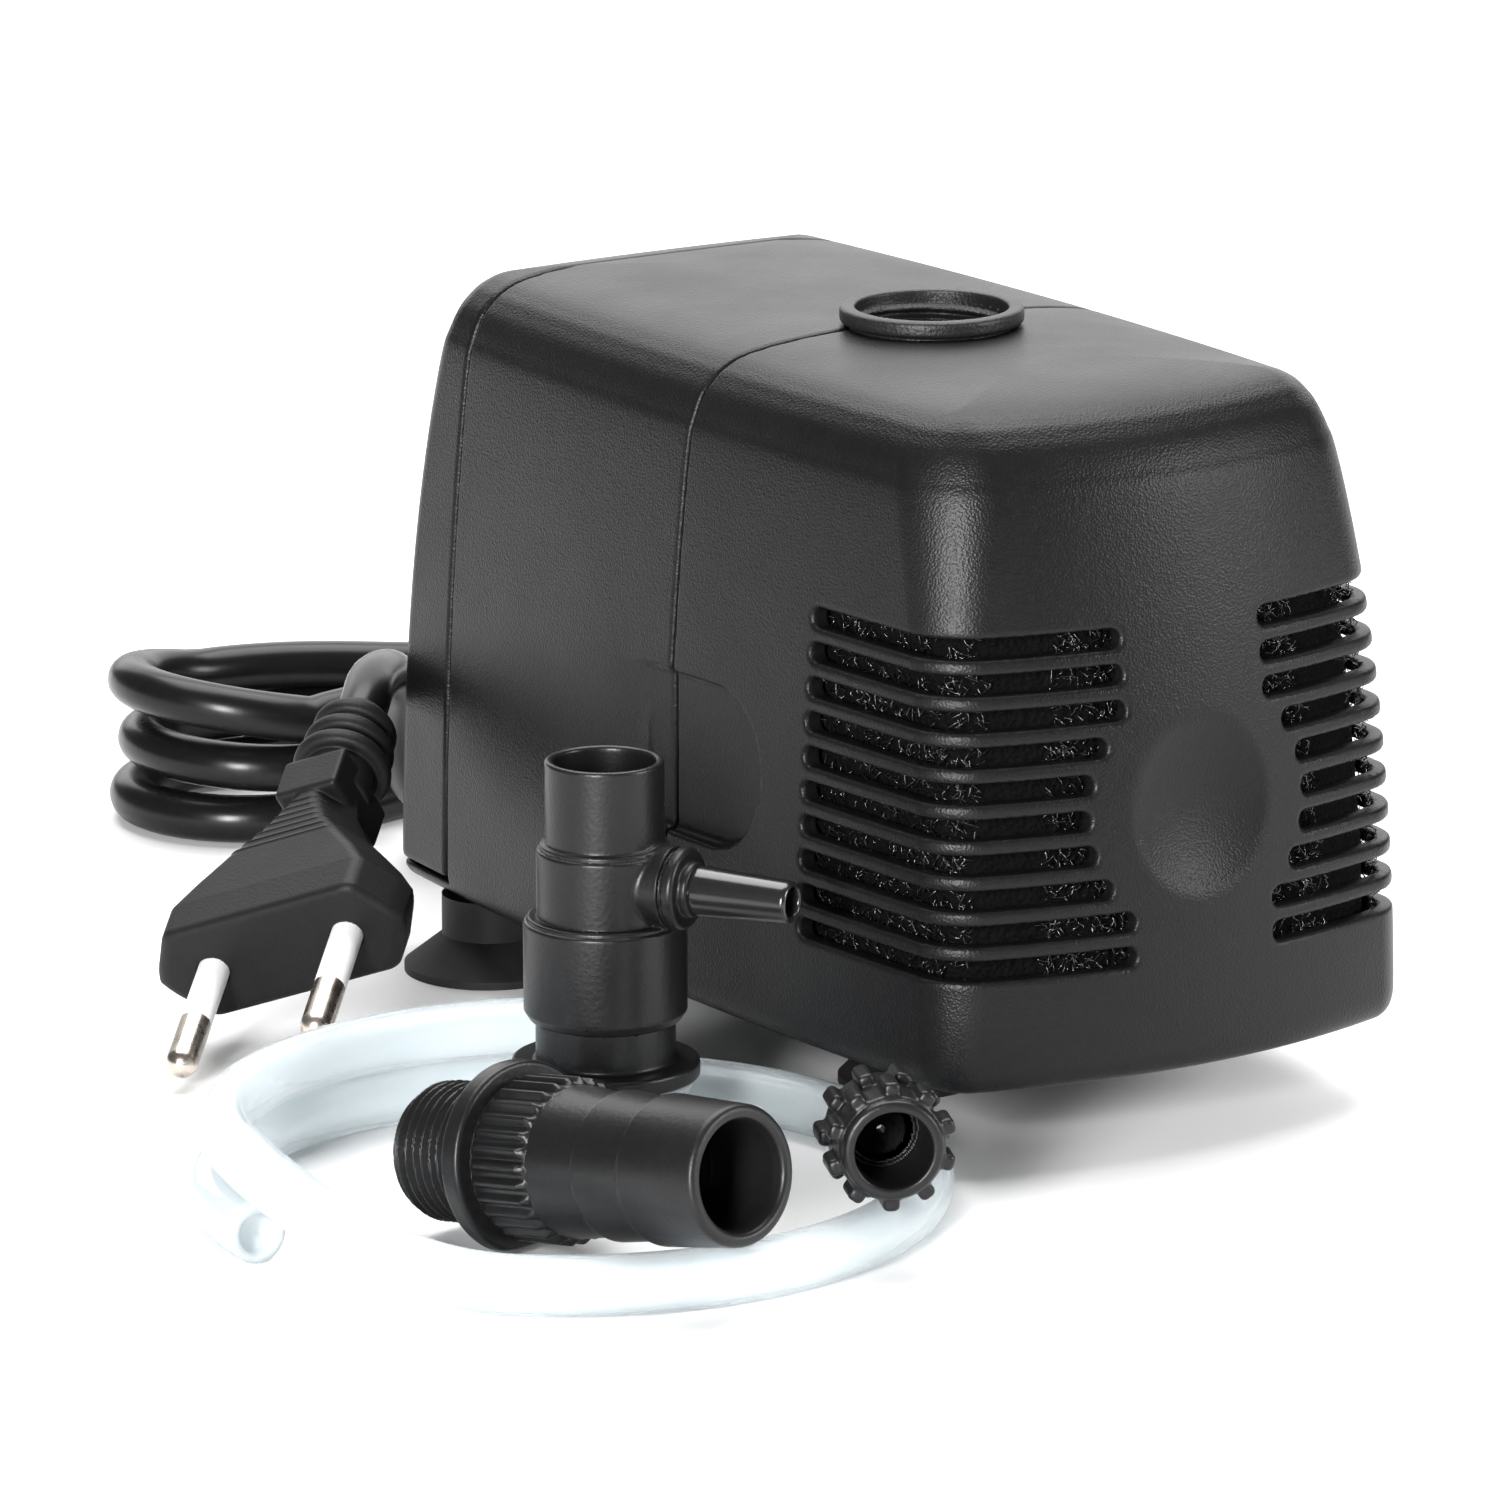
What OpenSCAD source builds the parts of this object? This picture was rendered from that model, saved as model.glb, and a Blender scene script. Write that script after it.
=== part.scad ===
// Submersible fountain pump with its cord and supplied fittings.
// Front (filter end) faces -Y, the outlet points +Z, the cord leaves at +Y.
// The origin is on the ground under the middle of the pump.

/* [Body] */
// Length of the body between its corner lines
body_len = 125; // [120:0.5:130]
// Half width of the body at its bottom corners
corner_half = 34; // [33:0.5:35]
// Outward bow of the long sides at mid length
side_bow = 3.2; // [1:0.1:4]
// Outward bow of the nose
nose_bow = 6.4; // [3:0.1:7]
// Outward bow of the back
back_bow = 1.5; // [0.5:0.1:2]
// Height of the underside above the ground
foot_h = 10; // [9.5:0.5:10.5]
// Height of the body, underside to crown
body_h = 80.5; // [80:0.5:81]
// Wall thickness of the shells
wall = 2.6; // [2:0.1:3]
// Joint line between front cage and motor housing
line_b = -6.4; // [-7:0.1:-6]
// Joint line between motor housing and rear cover
line_a = 47.5; // [46:0.5:49]

/* [Filter slots] */
// Number of slots on each side of the nose
slot_rows = 10; // [10:1:10]
// Distance between slots
slot_pitch = 4.2; // [4:0.05:4.3]
// Height of one slot
slot_h = 2.4; // [2:0.1:2.6]
// Top edge of the highest slot
slot_top = 64.3; // [63:0.1:65]
// Where the slots end on the long sides
slot_back = -34.5; // [-38:0.5:-32]

/* [Outlet] */
// Outlet position along the body
outlet_y = -9.7; // [-10:0.1:-9]
// Radius of the threaded outlet bore, a 3/8 inch pipe thread
outlet_r = 8.33; // [8.33:0.01:8.33]
// Outer radius of the outlet rim
rim_r = 11.3; // [11:0.1:11.5]

/* [Pump and motor] */
// Height of the motor axis
axis_z = 42; // [41:0.5:43]
// Radius of the impeller
impeller_r = 16.5; // [15:0.5:17]
// Radius of the rotor magnet
magnet_r = 8.5; // [8:0.1:9]
// Radius of the ceramic shaft
shaft_r = 1.5; // [1.5:0.1:1.5]

/* [Cord] */
// Diameter of the mains cord
cord_d = 6.4; // [6:0.1:7]
// Full layers of cord in the tied hank
hank_turns = 2; // [2:1:2]
// Outer diameter of the clear air tube
air_d = 7; // [6:0.5:7]

/* [Hidden] */
$fn = 48;

half_len = body_len / 2;
top_z = foot_h + body_h;
mid_z = foot_h + body_h / 2;
slot_r = slot_h / 2;
dish_r = 15.3;
lip_h = wall - 0.2;
far = 200;

// Rounding of the upper edges: distance below the crown, and how far the wall has moved in.
TOP_EDGE = [[60, 0], [40, 0], [24, 0], [12, 0.1], [8.4, 0.6], [5.6, 1.5], [3.9, 2.8], [2.7, 4.2],
            [1.5, 7], [0.6, 13], [0, 22]];

function edge_in(h) = lookup(-h, [for (p = TOP_EDGE) [-p[0], p[1]]]);
function lean(z) = 0.0008 * pow(z - foot_h, 2);
function half_w(z) = corner_half - lean(z) - edge_in(top_z - z);
function nose_y(z) = half_len - 1.9 * lean(z) - 0.8 * edge_in(top_z - z);
function back_y(z) = half_len + 0.4 - 0.9 * lean(z) - 0.6 * edge_in(top_z - z);
function side_x(y, z) = half_w(z) + side_bow * (1 - pow(y / half_len, 2));
function front_at(x, z) = -nose_y(z) - nose_bow * (1 - pow(x / half_w(z), 2));
function rear_at(x, z) = back_y(z) + back_bow * (1 - pow(x / half_w(z), 2));
function bez(a, b, c, t) = (1 - t) * (1 - t) * a + 2 * t * (1 - t) * b + t * t * c;

// Right half of the plan outline at height z, from the nose round to the back.
function half_plan(z, r) = let (w = half_w(z), yn = nose_y(z), yb = back_y(z)) concat(
    [for (t = [0:0.25:1]) let (x = t * (w - r)) [x, front_at(x, z)]],
    [for (t = [0.25:0.25:0.75]) bez([w - r, front_at(w - r, z)], [w, -yn], [side_x(r - yn, z), r - yn], t)],
    [for (t = [0:0.125:1]) let (y = (r - yn) + t * (yn + yb - 2 * r)) [side_x(y, z), y]],
    [for (t = [0.25:0.25:0.75]) bez([side_x(yb - r, z), yb - r], [w, yb], [w - r, rear_at(w - r, z)], t)],
    [for (t = [1:-0.5:0]) let (x = t * (w - r)) [x, rear_at(x, z)]]);

function full_plan(z, r) = let (h = half_plan(z, r), n = len(h)) concat(
    h, [for (i = [n - 2:-1:1]) [-h[i][0], h[i][1]]]);

// The whole outside of the pump as one smooth convex solid; it shrinks by t for the inside.
module envelope(t = 0) {
    sx = (corner_half - t) / corner_half;
    sy = (half_len - t) / half_len;
    sz = (body_h - 2 * t) / body_h;
    translate([0, 0, mid_z]) scale([sx, sy, sz]) translate([0, 0, -mid_z]) hull() {
        translate([0, 0, foot_h]) linear_extrude(0.01) scale([0.97, 0.982]) polygon(full_plan(foot_h, 4.5));
        for (p = TOP_EDGE)
            translate([0, 0, top_z - p[0] - 0.01]) linear_extrude(0.01) polygon(full_plan(top_z - p[0], 4.5));
        translate([0, 0, foot_h + 1.6]) linear_extrude(0.01) polygon(full_plan(foot_h + 1.6, 4.5));
    }
}

module span(y0, y1) {
    translate([-far / 2, y0, -20]) cube([far, y1 - y0, far]);
}

module along_y(r, y0, y1, x = 0, z = 0) {
    translate([x, y0, z]) rotate([-90, 0, 0]) cylinder(r = r, h = y1 - y0);
}

module ring_y(ro, ri, y0, y1) {
    difference() {
        along_y(ro, y0, y1, 0, axis_z);
        along_y(ri, y0 - 1, y1 + 1, 0, axis_z);
    }
}

module stadium(l, h) {
    r = h / 2;
    square([l - h, h], center = true);
    for (s = [-1, 1]) translate([s * (l - h) / 2, 0]) circle(r);
}

// Sloping thumb recess on both long sides, deepest at its front end.
module thumb_recess(s) {
    mirror([s < 0 ? 1 : 0, 0, 0]) intersection() {
        translate([0, -5.5, axis_z - 0.7]) rotate([90, 0, 90]) linear_extrude(60) stadium(41, 20);
        translate([33.8, -26, 0]) rotate([0, 0, -4]) cube([20, 60, 90]);
    }
}

module thumb_pad(s) {
    mirror([s < 0 ? 1 : 0, 0, 0]) intersection() {
        translate([31.6, -5.5, axis_z - 0.7]) rotate([90, 0, 90]) linear_extrude(2.8) stadium(45, 24);
        envelope(0.5);
    }
}

module shell(y0, y1) {
    difference() {
        intersection() {
            envelope();
            span(y0, y1);
        }
        envelope(wall);
    }
}

module below(z) {
    translate([-far / 2, -far / 2, z - far]) cube([far, far, far]);
}

module outlet_gap() {
    translate([0, outlet_y, 60]) cylinder(r = 10.4, h = 60);
}

module rear_cover() {
    color([0.13, 0.13, 0.14]) {
        difference() {
            shell(line_a + 0.25, far / 2);
            along_y(4.2, line_a, far / 2, 0, gland_z);
            below(foot_h + lip_h + 0.3);
        }
    }
}

module motor_housing() {
    color([0.13, 0.13, 0.14]) {
        difference() {
            union() {
                shell(line_b + 0.15, line_a);
                intersection() {
                    shell(line_a - 1, far / 2);
                    below(foot_h + lip_h);
                }
                intersection() {
                    envelope(0.6);
                    span(-1.5, 1.5);
                }
                intersection() {
                    union() {
                        thumb_pad(1);
                        thumb_pad(-1);
                    }
                    span(line_b + 0.15, line_a);
                }
            }
            thumb_recess(1);
            thumb_recess(-1);
            outlet_gap();
            along_y(17.05, -3, 3, 0, axis_z);
            for (a = [45:90:315]) translate([29 * cos(a) * 0.9, 0, axis_z + 29 * sin(a)])
                along_y(1.5, -3, 3);
        }
    }
}

function slot_end(k) = let (d = slot_top - k * slot_pitch - slot_r - axis_z)
    abs(d) < 12 ? sqrt(dish_r * dish_r - d * d) : 10;

module slot_cut(k, s) {
    z = slot_top - k * slot_pitch - slot_r;
    xe = slot_end(k) + slot_r;
    mirror([s < 0 ? 1 : 0, 0, 0]) {
        translate([xe, -far / 2, z - slot_r]) cube([60, far / 2 + slot_back - slot_r, slot_h]);
        along_y(slot_r, -far / 2, -50, xe, z);
        translate([20, slot_back - slot_r, z]) rotate([0, 90, 0]) cylinder(r = slot_r, h = 40);
    }
}

module front_cage() {
    color([0.13, 0.13, 0.14]) {
        difference() {
            union() {
                shell(-far / 2, line_b - 0.15);
                intersection() {
                    union() {
                        thumb_pad(1);
                        thumb_pad(-1);
                    }
                    span(-far / 2, line_b - 0.15);
                }
                intersection() {
                    envelope(0.5);
                    along_y(dish_r - 1.5, -68, -63.7, 0, axis_z);
                }
            }
            for (k = [0:slot_rows - 1]) {
                slot_cut(k, 1);
                slot_cut(k, -1);
            }
            thumb_recess(1);
            thumb_recess(-1);
            outlet_gap();
            translate([-10.4, outlet_y, 60]) cube([20.8, 20, 40]);
            translate([0, -101.1, axis_z + 3.5]) sphere(r = 35.8, $fn = 96);
        }
    }
}

module filter_sponge() {
    color([0.05, 0.05, 0.055]) {
        difference() {
            intersection() {
                envelope(wall + 0.3);
                translate([-40, -80, slot_top - 43.5]) cube([80, 80 - 28.4, 46]);
            }
            translate([-16, -46, 0]) cube([32, 30, 80]);
            along_y(dish_r - 1.2, -70, -63.4, 0, axis_z);
        }
    }
}

module pump_chamber() {
    color([0.12, 0.12, 0.13]) {
        difference() {
            union() {
                along_y(24, -21, -1.7, 0, axis_z);
                intersection() {
                    translate([0, outlet_y, axis_z]) cylinder(r = 10.1, h = 25);
                    span(-21, -1.7);
                }
                translate([0, outlet_y, axis_z + 19.5]) cylinder(r = 10.1, h = top_z - axis_z - 19.5);
                translate([0, outlet_y, top_z + 0.3]) cylinder(r = rim_r, h = 2);
                translate([0, outlet_y, top_z - 1]) cylinder(r = 10.1, h = 2);
                for (a = [45:90:315]) translate([29 * cos(a) * 0.9, 0, axis_z + 29 * sin(a)])
                    along_y(3.2, -6, -1.7);
                for (a = [0, 90]) intersection() {
                    translate([0, -3.7, axis_z]) rotate([0, a, 0]) rotate([0, 45, 0]) cube([60, 4, 6], center = true);
                    along_y(30, -7, -1.7, 0, axis_z);
                }
            }
            along_y(18.5, -17.5, -1, 0, axis_z);
            along_y(21.4, -22, -17.4, 0, axis_z);
            along_y(17.3, -4.2, -1, 0, axis_z);
            ring_y(22.8, 20.8, -3.5, -1);
            translate([0, outlet_y, 52]) cylinder(r = 6.5, h = 30);
            translate([0, outlet_y, top_z - 11]) cylinder(r = outlet_r, h = 13);
            translate([0, outlet_y, top_z + 1.1]) cylinder(r = 9.4, h = 3);
            for (a = [45:90:315]) translate([29 * cos(a) * 0.9, 0, axis_z + 29 * sin(a)])
                along_y(1.5, -8, -1);
        }
    }
}

module chamber_cover() {
    color([0.12, 0.12, 0.13]) {
        difference() {
            union() {
                along_y(21.1, -22.5, -17.6, 0, axis_z);
                along_y(10, -26, -22, 0, axis_z);
            }
            along_y(18.5, -18.6, -17, 0, axis_z);
            along_y(7.5, -27, -17, 0, axis_z);
        }
        difference() {
            union() {
                for (a = [0:60:120]) translate([0, -20.5, axis_z]) rotate([0, a, 0]) cube([16, 2, 1.6], center = true);
                along_y(3.6, -22, -18.7, 0, axis_z);
            }
            along_y(2.6, -21, -18, 0, axis_z);
        }
    }
}

module impeller() {
    color([0.85, 0.85, 0.83]) {
        difference() {
            union() {
                along_y(impeller_r, -7.5, -6, 0, axis_z);
                along_y(5, -16, 3, 0, axis_z);
                for (a = [0:60:300]) translate([0, -11, axis_z]) rotate([0, a, 0])
                    translate([impeller_r / 2, 0, 0]) cube([impeller_r - 1, 8, 1.4], center = true);
            }
            along_y(shaft_r + 0.05, -20, 10, 0, axis_z);
        }
    }
}

module rotor_magnet() {
    color([0.25, 0.25, 0.27]) ring_y(magnet_r, shaft_r + 0.05, 3, 33);
}

module rotor_shaft() {
    color([0.93, 0.93, 0.9]) along_y(shaft_r, -20.8, 36.8, 0, axis_z);
}

module front_bush() {
    color([0.08, 0.08, 0.08]) ring_y(2.6, shaft_r + 0.05, -21, -18);
}

module rear_bush() {
    color([0.08, 0.08, 0.08]) ring_y(3.5, shaft_r, 33.6, 36.6);
}

module rotor_can() {
    color([0.2, 0.2, 0.21]) {
        difference() {
            union() {
                along_y(10.6, -1.2, 38.6, 0, axis_z);
                along_y(17, -3.8, 1.2, 0, axis_z);
            }
            along_y(9.2, -5, 33.6, 0, axis_z);
            along_y(3.5, 30, 36.8, 0, axis_z);
        }
    }
}

module seal_ring() {
    color([0.1, 0.1, 0.1]) translate([0, -2.4, axis_z]) rotate([90, 0, 0]) rotate_extrude()
        translate([21.8, 0]) circle(0.8);
}

module stator_core() {
    color([0.45, 0.46, 0.48]) {
        difference() {
            translate([-26, 8, axis_z - 23.5]) cube([52, 25, 40.5]);
            along_y(11, 0, 60, 0, axis_z);
            for (s = [-1, 1]) translate([s * 17.7 - 4.2, 0, axis_z - 15.5]) cube([8.4, 60, 24]);
        }
    }
}

// Coils sit on the two outer legs of the core.
leg_x = 24;
module leg_block(s, mx, my, h) {
    translate([s * leg_x - 2.1 - mx, 8 - my, axis_z - 3.5 - h / 2]) cube([4.2 + 2 * mx, 25 + 2 * my, h]);
}

module coil_bobbins() {
    color([0.9, 0.9, 0.86]) for (s = [-1, 1]) difference() {
        union() {
            leg_block(s, 1.2, 1.2, 23);
            leg_block(s, 5, 5, 23);
        }
        leg_block(s, 0.15, 0.15, 40);
        difference() {
            leg_block(s, 12, 12, 20.6);
            leg_block(s, 1.2, 1.2, 30);
        }
    }
}

module coil_windings() {
    color([0.72, 0.42, 0.2]) for (s = [-1, 1]) difference() {
        leg_block(s, 4.7, 4.7, 20.2);
        leg_block(s, 1.3, 1.3, 40);
    }
}

module potting_block() {
    color([0.16, 0.15, 0.14]) {
        translate([-26, 40, 17]) cube([52, 5, 46]);
    }
}

// Ribbed strain relief where the cord leaves the rear cover.
gland_y = 62;
gland_z = 20;
module cable_gland() {
    color([0.09, 0.09, 0.1]) translate([0, gland_y, gland_z]) rotate([-90, 0, 0]) {
        difference() {
            union() {
                translate([0, 0, -3]) cylinder(r = 4.1, h = 8);
                translate([0, 0, 2.6]) cylinder(r = 6.5, h = 2);
                translate([0, 0, 4]) cylinder(r1 = 6, r2 = 4.1, h = 22);
                for (k = [0:3]) translate([0, 0, 7 + 4.6 * k]) cylinder(r = 6.1 - 0.4 * k, h = 1.8);
            }
            translate([0, 0, 20]) cylinder(r = cord_d / 2, h = 10);
        }
    }
}

module foot_at(x, y, r) {
    translate([x, y, 0]) difference() {
        union() {
            cylinder(r = r, h = 1);
            translate([0, 0, 1]) cylinder(r1 = r, r2 = 0.56 * r, h = 3.8);
            cylinder(r = 0.56 * r, h = foot_h);
        }
        translate([0, 0, -3]) scale([r / 8.5, r / 8.5, 0.62]) sphere(r = 8);
    }
}

module front_feet() {
    color([0.07, 0.07, 0.075]) for (x = [-13, 13]) foot_at(x, -24, 8.5);
}

module rear_feet() {
    color([0.07, 0.07, 0.075]) for (x = [-28.5, 28.5]) foot_at(x, 48, 11);
}

module chamber_screws() {
    color([0.75, 0.75, 0.77]) {
        for (a = [45:90:315]) translate([29 * cos(a) * 0.9, 0, axis_z + 29 * sin(a)]) {
            along_y(1.45, -7, 4);
            along_y(2.8, -8.2, -6);
        }
    }
}

// Cord, plug and hank.
hank_x0 = -14;
hank_x1 = 122;
hank_y = 133;
hank_r = 16;
cord_r = cord_d / 2;
layer_h = cord_d + 0.1;
LEAD = [[0, 83, gland_z], [0, 88, 20], [-1, 97, 20], [-4, 106.5, 19.4], [-8, 114.5, 17.6], [-14, 117, 16.35]];
TAIL = [[-45, 53.4, 31.8], [-41.3, 57.3, 34.2], [-36.4, 63.4, 35.6], [-30.5, 69.3, 34.6], [-25, 76.5, 31],
        [-20.5, 84.5, 25], [-15.5, 91.5, 17.5], [-8, 98.4, 9.8], [2, 103.6, 4.8], [16, 107.8, 3.4],
        [32, 110, 3.3], [62, 110.5, 3.3], [92, 110.5, 3.3], [122, 110.5, 3.3], [131, 112.4, 3.3],
        [138, 118.4, 3.3], [141, 126.5, 3.3], [139.5, 135, 3.3]];

function catmull(p, i, t) = let (n = len(p) - 1, a = p[max(i - 1, 0)], b = p[i], c = p[i + 1],
    d = p[min(i + 2, n)]) 0.5 * (2 * b + (c - a) * t + (2 * a - 5 * b + 4 * c - d) * t * t
    + (3 * b - a - 3 * c + d) * t * t * t);
function smooth_path(p, k) = concat([for (i = [0:len(p) - 2], j = [0:k - 1]) catmull(p, i, j / k)], [p[len(p) - 1]]);
function unit(v) = v / norm(v);
function dir_at(p, i) = unit(p[min(i + 1, len(p) - 1)] - p[max(i - 1, 0)]);
function frame_step(p, i, s) = i >= len(p) ? [] :
    let (d = dir_at(p, i), v = unit(s - (s * d) * d)) concat([v], frame_step(p, i + 1, v));
function ring_at(p, v, i, r, n) = let (d = dir_at(p, i), w = cross(d, v[i]))
    [for (k = [0:n - 1]) p[i] + r * (cos(360 * k / n) * v[i] + sin(360 * k / n) * w)];

module sweep(p, r, n) {
    v = frame_step(p, 0, [0.1, 0.2, 1]);
    m = len(p);
    polyhedron(
        points = [for (i = [0:m - 1]) each ring_at(p, v, i, r, n)],
        faces = concat([[for (k = [0:n - 1]) k]], [[for (k = [n - 1:-1:0]) (m - 1) * n + k]],
            [for (i = [0:m - 2], k = [0:n - 1]) [i * n + k, (i + 1) * n + k, (i + 1) * n + (k + 1) % n,
                i * n + (k + 1) % n]]),
        convexity = 8);
}

module cord_lead() {
    color([0.08, 0.08, 0.085]) sweep(smooth_path(LEAD, 2), cord_r, 10);
}

module cord_tail() {
    color([0.08, 0.08, 0.085]) sweep(smooth_path(TAIL, 2), cord_r, 10);
}

// The hank is drawn in between its two rounded ends.
hank_len = hank_x1 - hank_x0;
function ease(t) = t * t * (3 - 2 * t);
function pinch(x) = 9 * ease(min(1, (x - hank_x0) / 40, (hank_x1 - x) / 40));

module racetrack(r) {
    polygon(concat(
        [for (a = [90:10:270]) [hank_x0 + r * cos(a), hank_y + r * sin(a)]],
        [for (i = [1:26]) let (x = hank_x0 + hank_len * i / 27) [x, hank_y - r + pinch(x)]],
        [for (a = [-90:10:90]) [hank_x1 + r * cos(a), hank_y + r * sin(a)]],
        [for (i = [26:-1:1]) let (x = hank_x0 + hank_len * i / 27) [x, hank_y + r - pinch(x)]]));
}

module cord_hank() {
    color([0.08, 0.08, 0.085]) {
        translate([0, 0, 0.1]) linear_extrude(hank_turns * layer_h - 0.2) difference() {
            racetrack(hank_r + cord_r);
            racetrack(hank_r - cord_r);
        }
        translate([0, 0, hank_turns * layer_h - 0.1]) linear_extrude(layer_h) difference() {
            racetrack(hank_r + cord_r);
            racetrack(hank_r - cord_r);
            translate([hank_x0, 0]) square([far, hank_y]);
            translate([hank_x1, 0]) square([far, far]);
        }
    }
}

// Plug: local z runs along the pins into the body, local x from pin to pin.
plug_at = [-72.8, 25.2, 13.8];
module plug_frame() {
    translate(plug_at) rotate([0, 0, -44.5]) rotate([-65.5, 0, 0]) rotate([0, 0, -21.5]) children();
}

module plug_outline(t) {
    polygon([[-17.6 + t, 1 + t], [-17.6 + t, 5.5], [-12, 14], [-6.6, 23], [-5.2 + t, 34 - t],
             [5.2 - t, 34 - t], [6.6, 23], [12, 14], [17.6 - t, 5.5], [17.6 - t, 1 + t],
             [13 - t, 0 + t], [-13 + t, 0 + t]]);
}

module plug_body() {
    color([0.1, 0.1, 0.105]) plug_frame() {
        difference() {
            intersection() {
                translate([0, 7, 0]) rotate([90, 0, 0]) linear_extrude(14) plug_outline(0);
                linear_extrude(60) polygon([[-17.6, 0], [-13, 7], [13, 7], [17.6, 0], [13, -7], [-13, -7]]);
            }
            for (s = [-1, 1]) translate([s * 9.5, 0, -1]) cylinder(r = 2.0, h = 6);
            translate([0, 0, 28.5]) cylinder(r = 4.2, h = 10);
        }
    }
}

module plug_strain_relief() {
    color([0.1, 0.1, 0.105]) plug_frame() {
        difference() {
            union() {
                translate([0, 0, 28.7]) cylinder(r = 4.2, h = 8);
                translate([0, 0, 34.3]) cylinder(r1 = 5.4, r2 = 4.1, h = 12.4);
                for (k = [0:2]) translate([0, 0, 35.4 + 3.7 * k]) cylinder(r = 6.2 - 0.4 * k, h = 2);
            }
            translate([0, 0, 43]) cylinder(r = cord_r, h = 10);
        }
    }
}

module plug_pins() {
    color([0.75, 0.74, 0.7]) plug_frame() {
        for (s = [-1, 1]) translate([s * 9.5, 0, 0]) {
            translate([0, 0, -17.2]) cylinder(r = 2, h = 7.2);
            translate([0, 0, -17.2]) sphere(r = 2);
            translate([0, 0, -12]) cylinder(r = 1.6, h = 16);
        }
    }
}

module pin_sleeves() {
    color([0.93, 0.93, 0.92]) plug_frame() {
        for (s = [-1, 1]) translate([s * 9.5, 0, -10]) difference() {
            cylinder(r = 1.95, h = 13.8);
            translate([0, 0, -1]) cylinder(r = 1.6, h = 20);
        }
    }
}

// Supplied fittings on the ground in front of the pump's left side.
tee_x = -62.8;
tee_y = -33.9;
module tee_body() {
    color([0.12, 0.12, 0.125]) translate([tee_x, tee_y, 0.1]) {
        difference() {
            union() {
                cylinder(r = 8.2, h = 11);
                translate([0, 0, 11]) cylinder(r = 11.2, h = 3);
                cylinder(r = 8.3, h = 20);
                translate([0, 0, 18]) cylinder(r1 = 8.6, r2 = 9.7, h = 1.6);
                translate([0, 0, 19.6]) cylinder(r = 9.7, h = 10.9);
                translate([0, 0, 30.5]) cylinder(r = 8.1, h = 9);
                translate([0, 0, 39]) cylinder(r = 7.05, h = 10.5);
                translate([0, 0, 35]) rotate([0, 0, -60]) rotate([0, 90, 0]) cylinder(r = 4.6, h = 11.2);
            }
            translate([0, 0, -1]) cylinder(r = 5.8, h = 60);
            translate([0, 0, 35]) rotate([0, 0, -60]) rotate([0, 90, 0]) cylinder(r = 2.6, h = 20);
        }
    }
}

module tee_nozzle() {
    color([0.1, 0.1, 0.105]) translate([tee_x, tee_y, 35.1]) rotate([0, 0, -60]) rotate([0, 90, 0]) {
        difference() {
            union() {
                translate([0, 0, 7.5]) cylinder(r = 2.6, h = 4);
                translate([0, 0, 11.3]) cylinder(r1 = 3, r2 = 2.45, h = 13.5);
            }
            cylinder(r = 1.5, h = 40);
        }
    }
}

module tee_gasket() {
    color([0.9, 0.92, 0.92, 0.6]) translate([tee_x, tee_y, 9.4]) difference() {
        cylinder(r = 10.2, h = 1.6);
        translate([0, 0, -1]) cylinder(r = 8.3, h = 4);
    }
}

hose_at = [-91.9, -44, 9.1];
module hose_frame() {
    translate(hose_at) rotate([0, 0, -78.5]) rotate([0, 81.5, 0]) children();
}

module hose_tail() {
    color([0.12, 0.12, 0.125]) hose_frame() {
        difference() {
            union() {
                cylinder(r = 8.2, h = 13);
                difference() {
                    translate([0, 0, 12]) cylinder(r = 11.2, h = 3);
                    translate([10.2, -20, 10]) cube([5, 40, 8]);
                }
                translate([0, 0, 14.5]) cylinder(r = 9.6, h = 9.5);
                translate([0, 0, 23.5]) cylinder(r1 = 8.6, r2 = 8, h = 8);
                translate([0, 0, 31]) cylinder(r1 = 8.6, r2 = 8, h = 8);
                translate([0, 0, 38.5]) cylinder(r1 = 8.6, r2 = 8, h = 12);
            }
            translate([0, 0, -1]) cylinder(r = 6.2, h = 60);
        }
    }
}

cap_at = [-57.3, -84.9, 15.1];
module regulator_cap() {
    color([0.12, 0.12, 0.125]) translate(cap_at) rotate([0, 0, -114]) rotate([0, 90, 0]) {
        difference() {
            union() {
                translate([0, 0, -5.6]) cylinder(r = 6.25, h = 10.6);
                translate([0, 0, -5.6]) cylinder(r = 5.9, h = 11.5);
                for (a = [0:36:324]) rotate([0, 0, a]) translate([0, -1, -5.2]) cube([7.65, 2, 4.9]);
                for (a = [18:36:342]) rotate([0, 0, a]) translate([0, -1, 0.1]) cube([7.65, 2, 4.5]);
            }
            translate([0, 0, -3]) cylinder(r = 4.6, h = 20);
            translate([0, 0, -10]) cylinder(r = 0.6, h = 20);
        }
    }
}

// Clear air tube: a turn and a third, the upper part lying on the lower one.
air_c = [-76, -47];
air_r = 41.3;
air_turns = 1.36;
air_rise = air_d + 0.3;
function air_z(t) = air_d / 2 + 0.1 + air_rise * (t < 0.86 ? 0 : t > 1.04 ? 1 : (1 - cos(1000 * (t - 0.86))) / 2);
function air_radius(t) = air_r - (t > 0.86 ? 1.2 * min((t - 0.86) / 0.1, 1) : 0);
function air_at(t) = [air_c[0] + air_radius(t) * cos(178 - 360 * t), air_c[1] + air_radius(t) * sin(178 - 360 * t), air_z(t)];

module air_tube() {
    color([0.9, 0.93, 0.94, 0.6]) sweep([for (i = [0:54]) air_at(air_turns * i / 54)], air_d / 2, 10);
}

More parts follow.
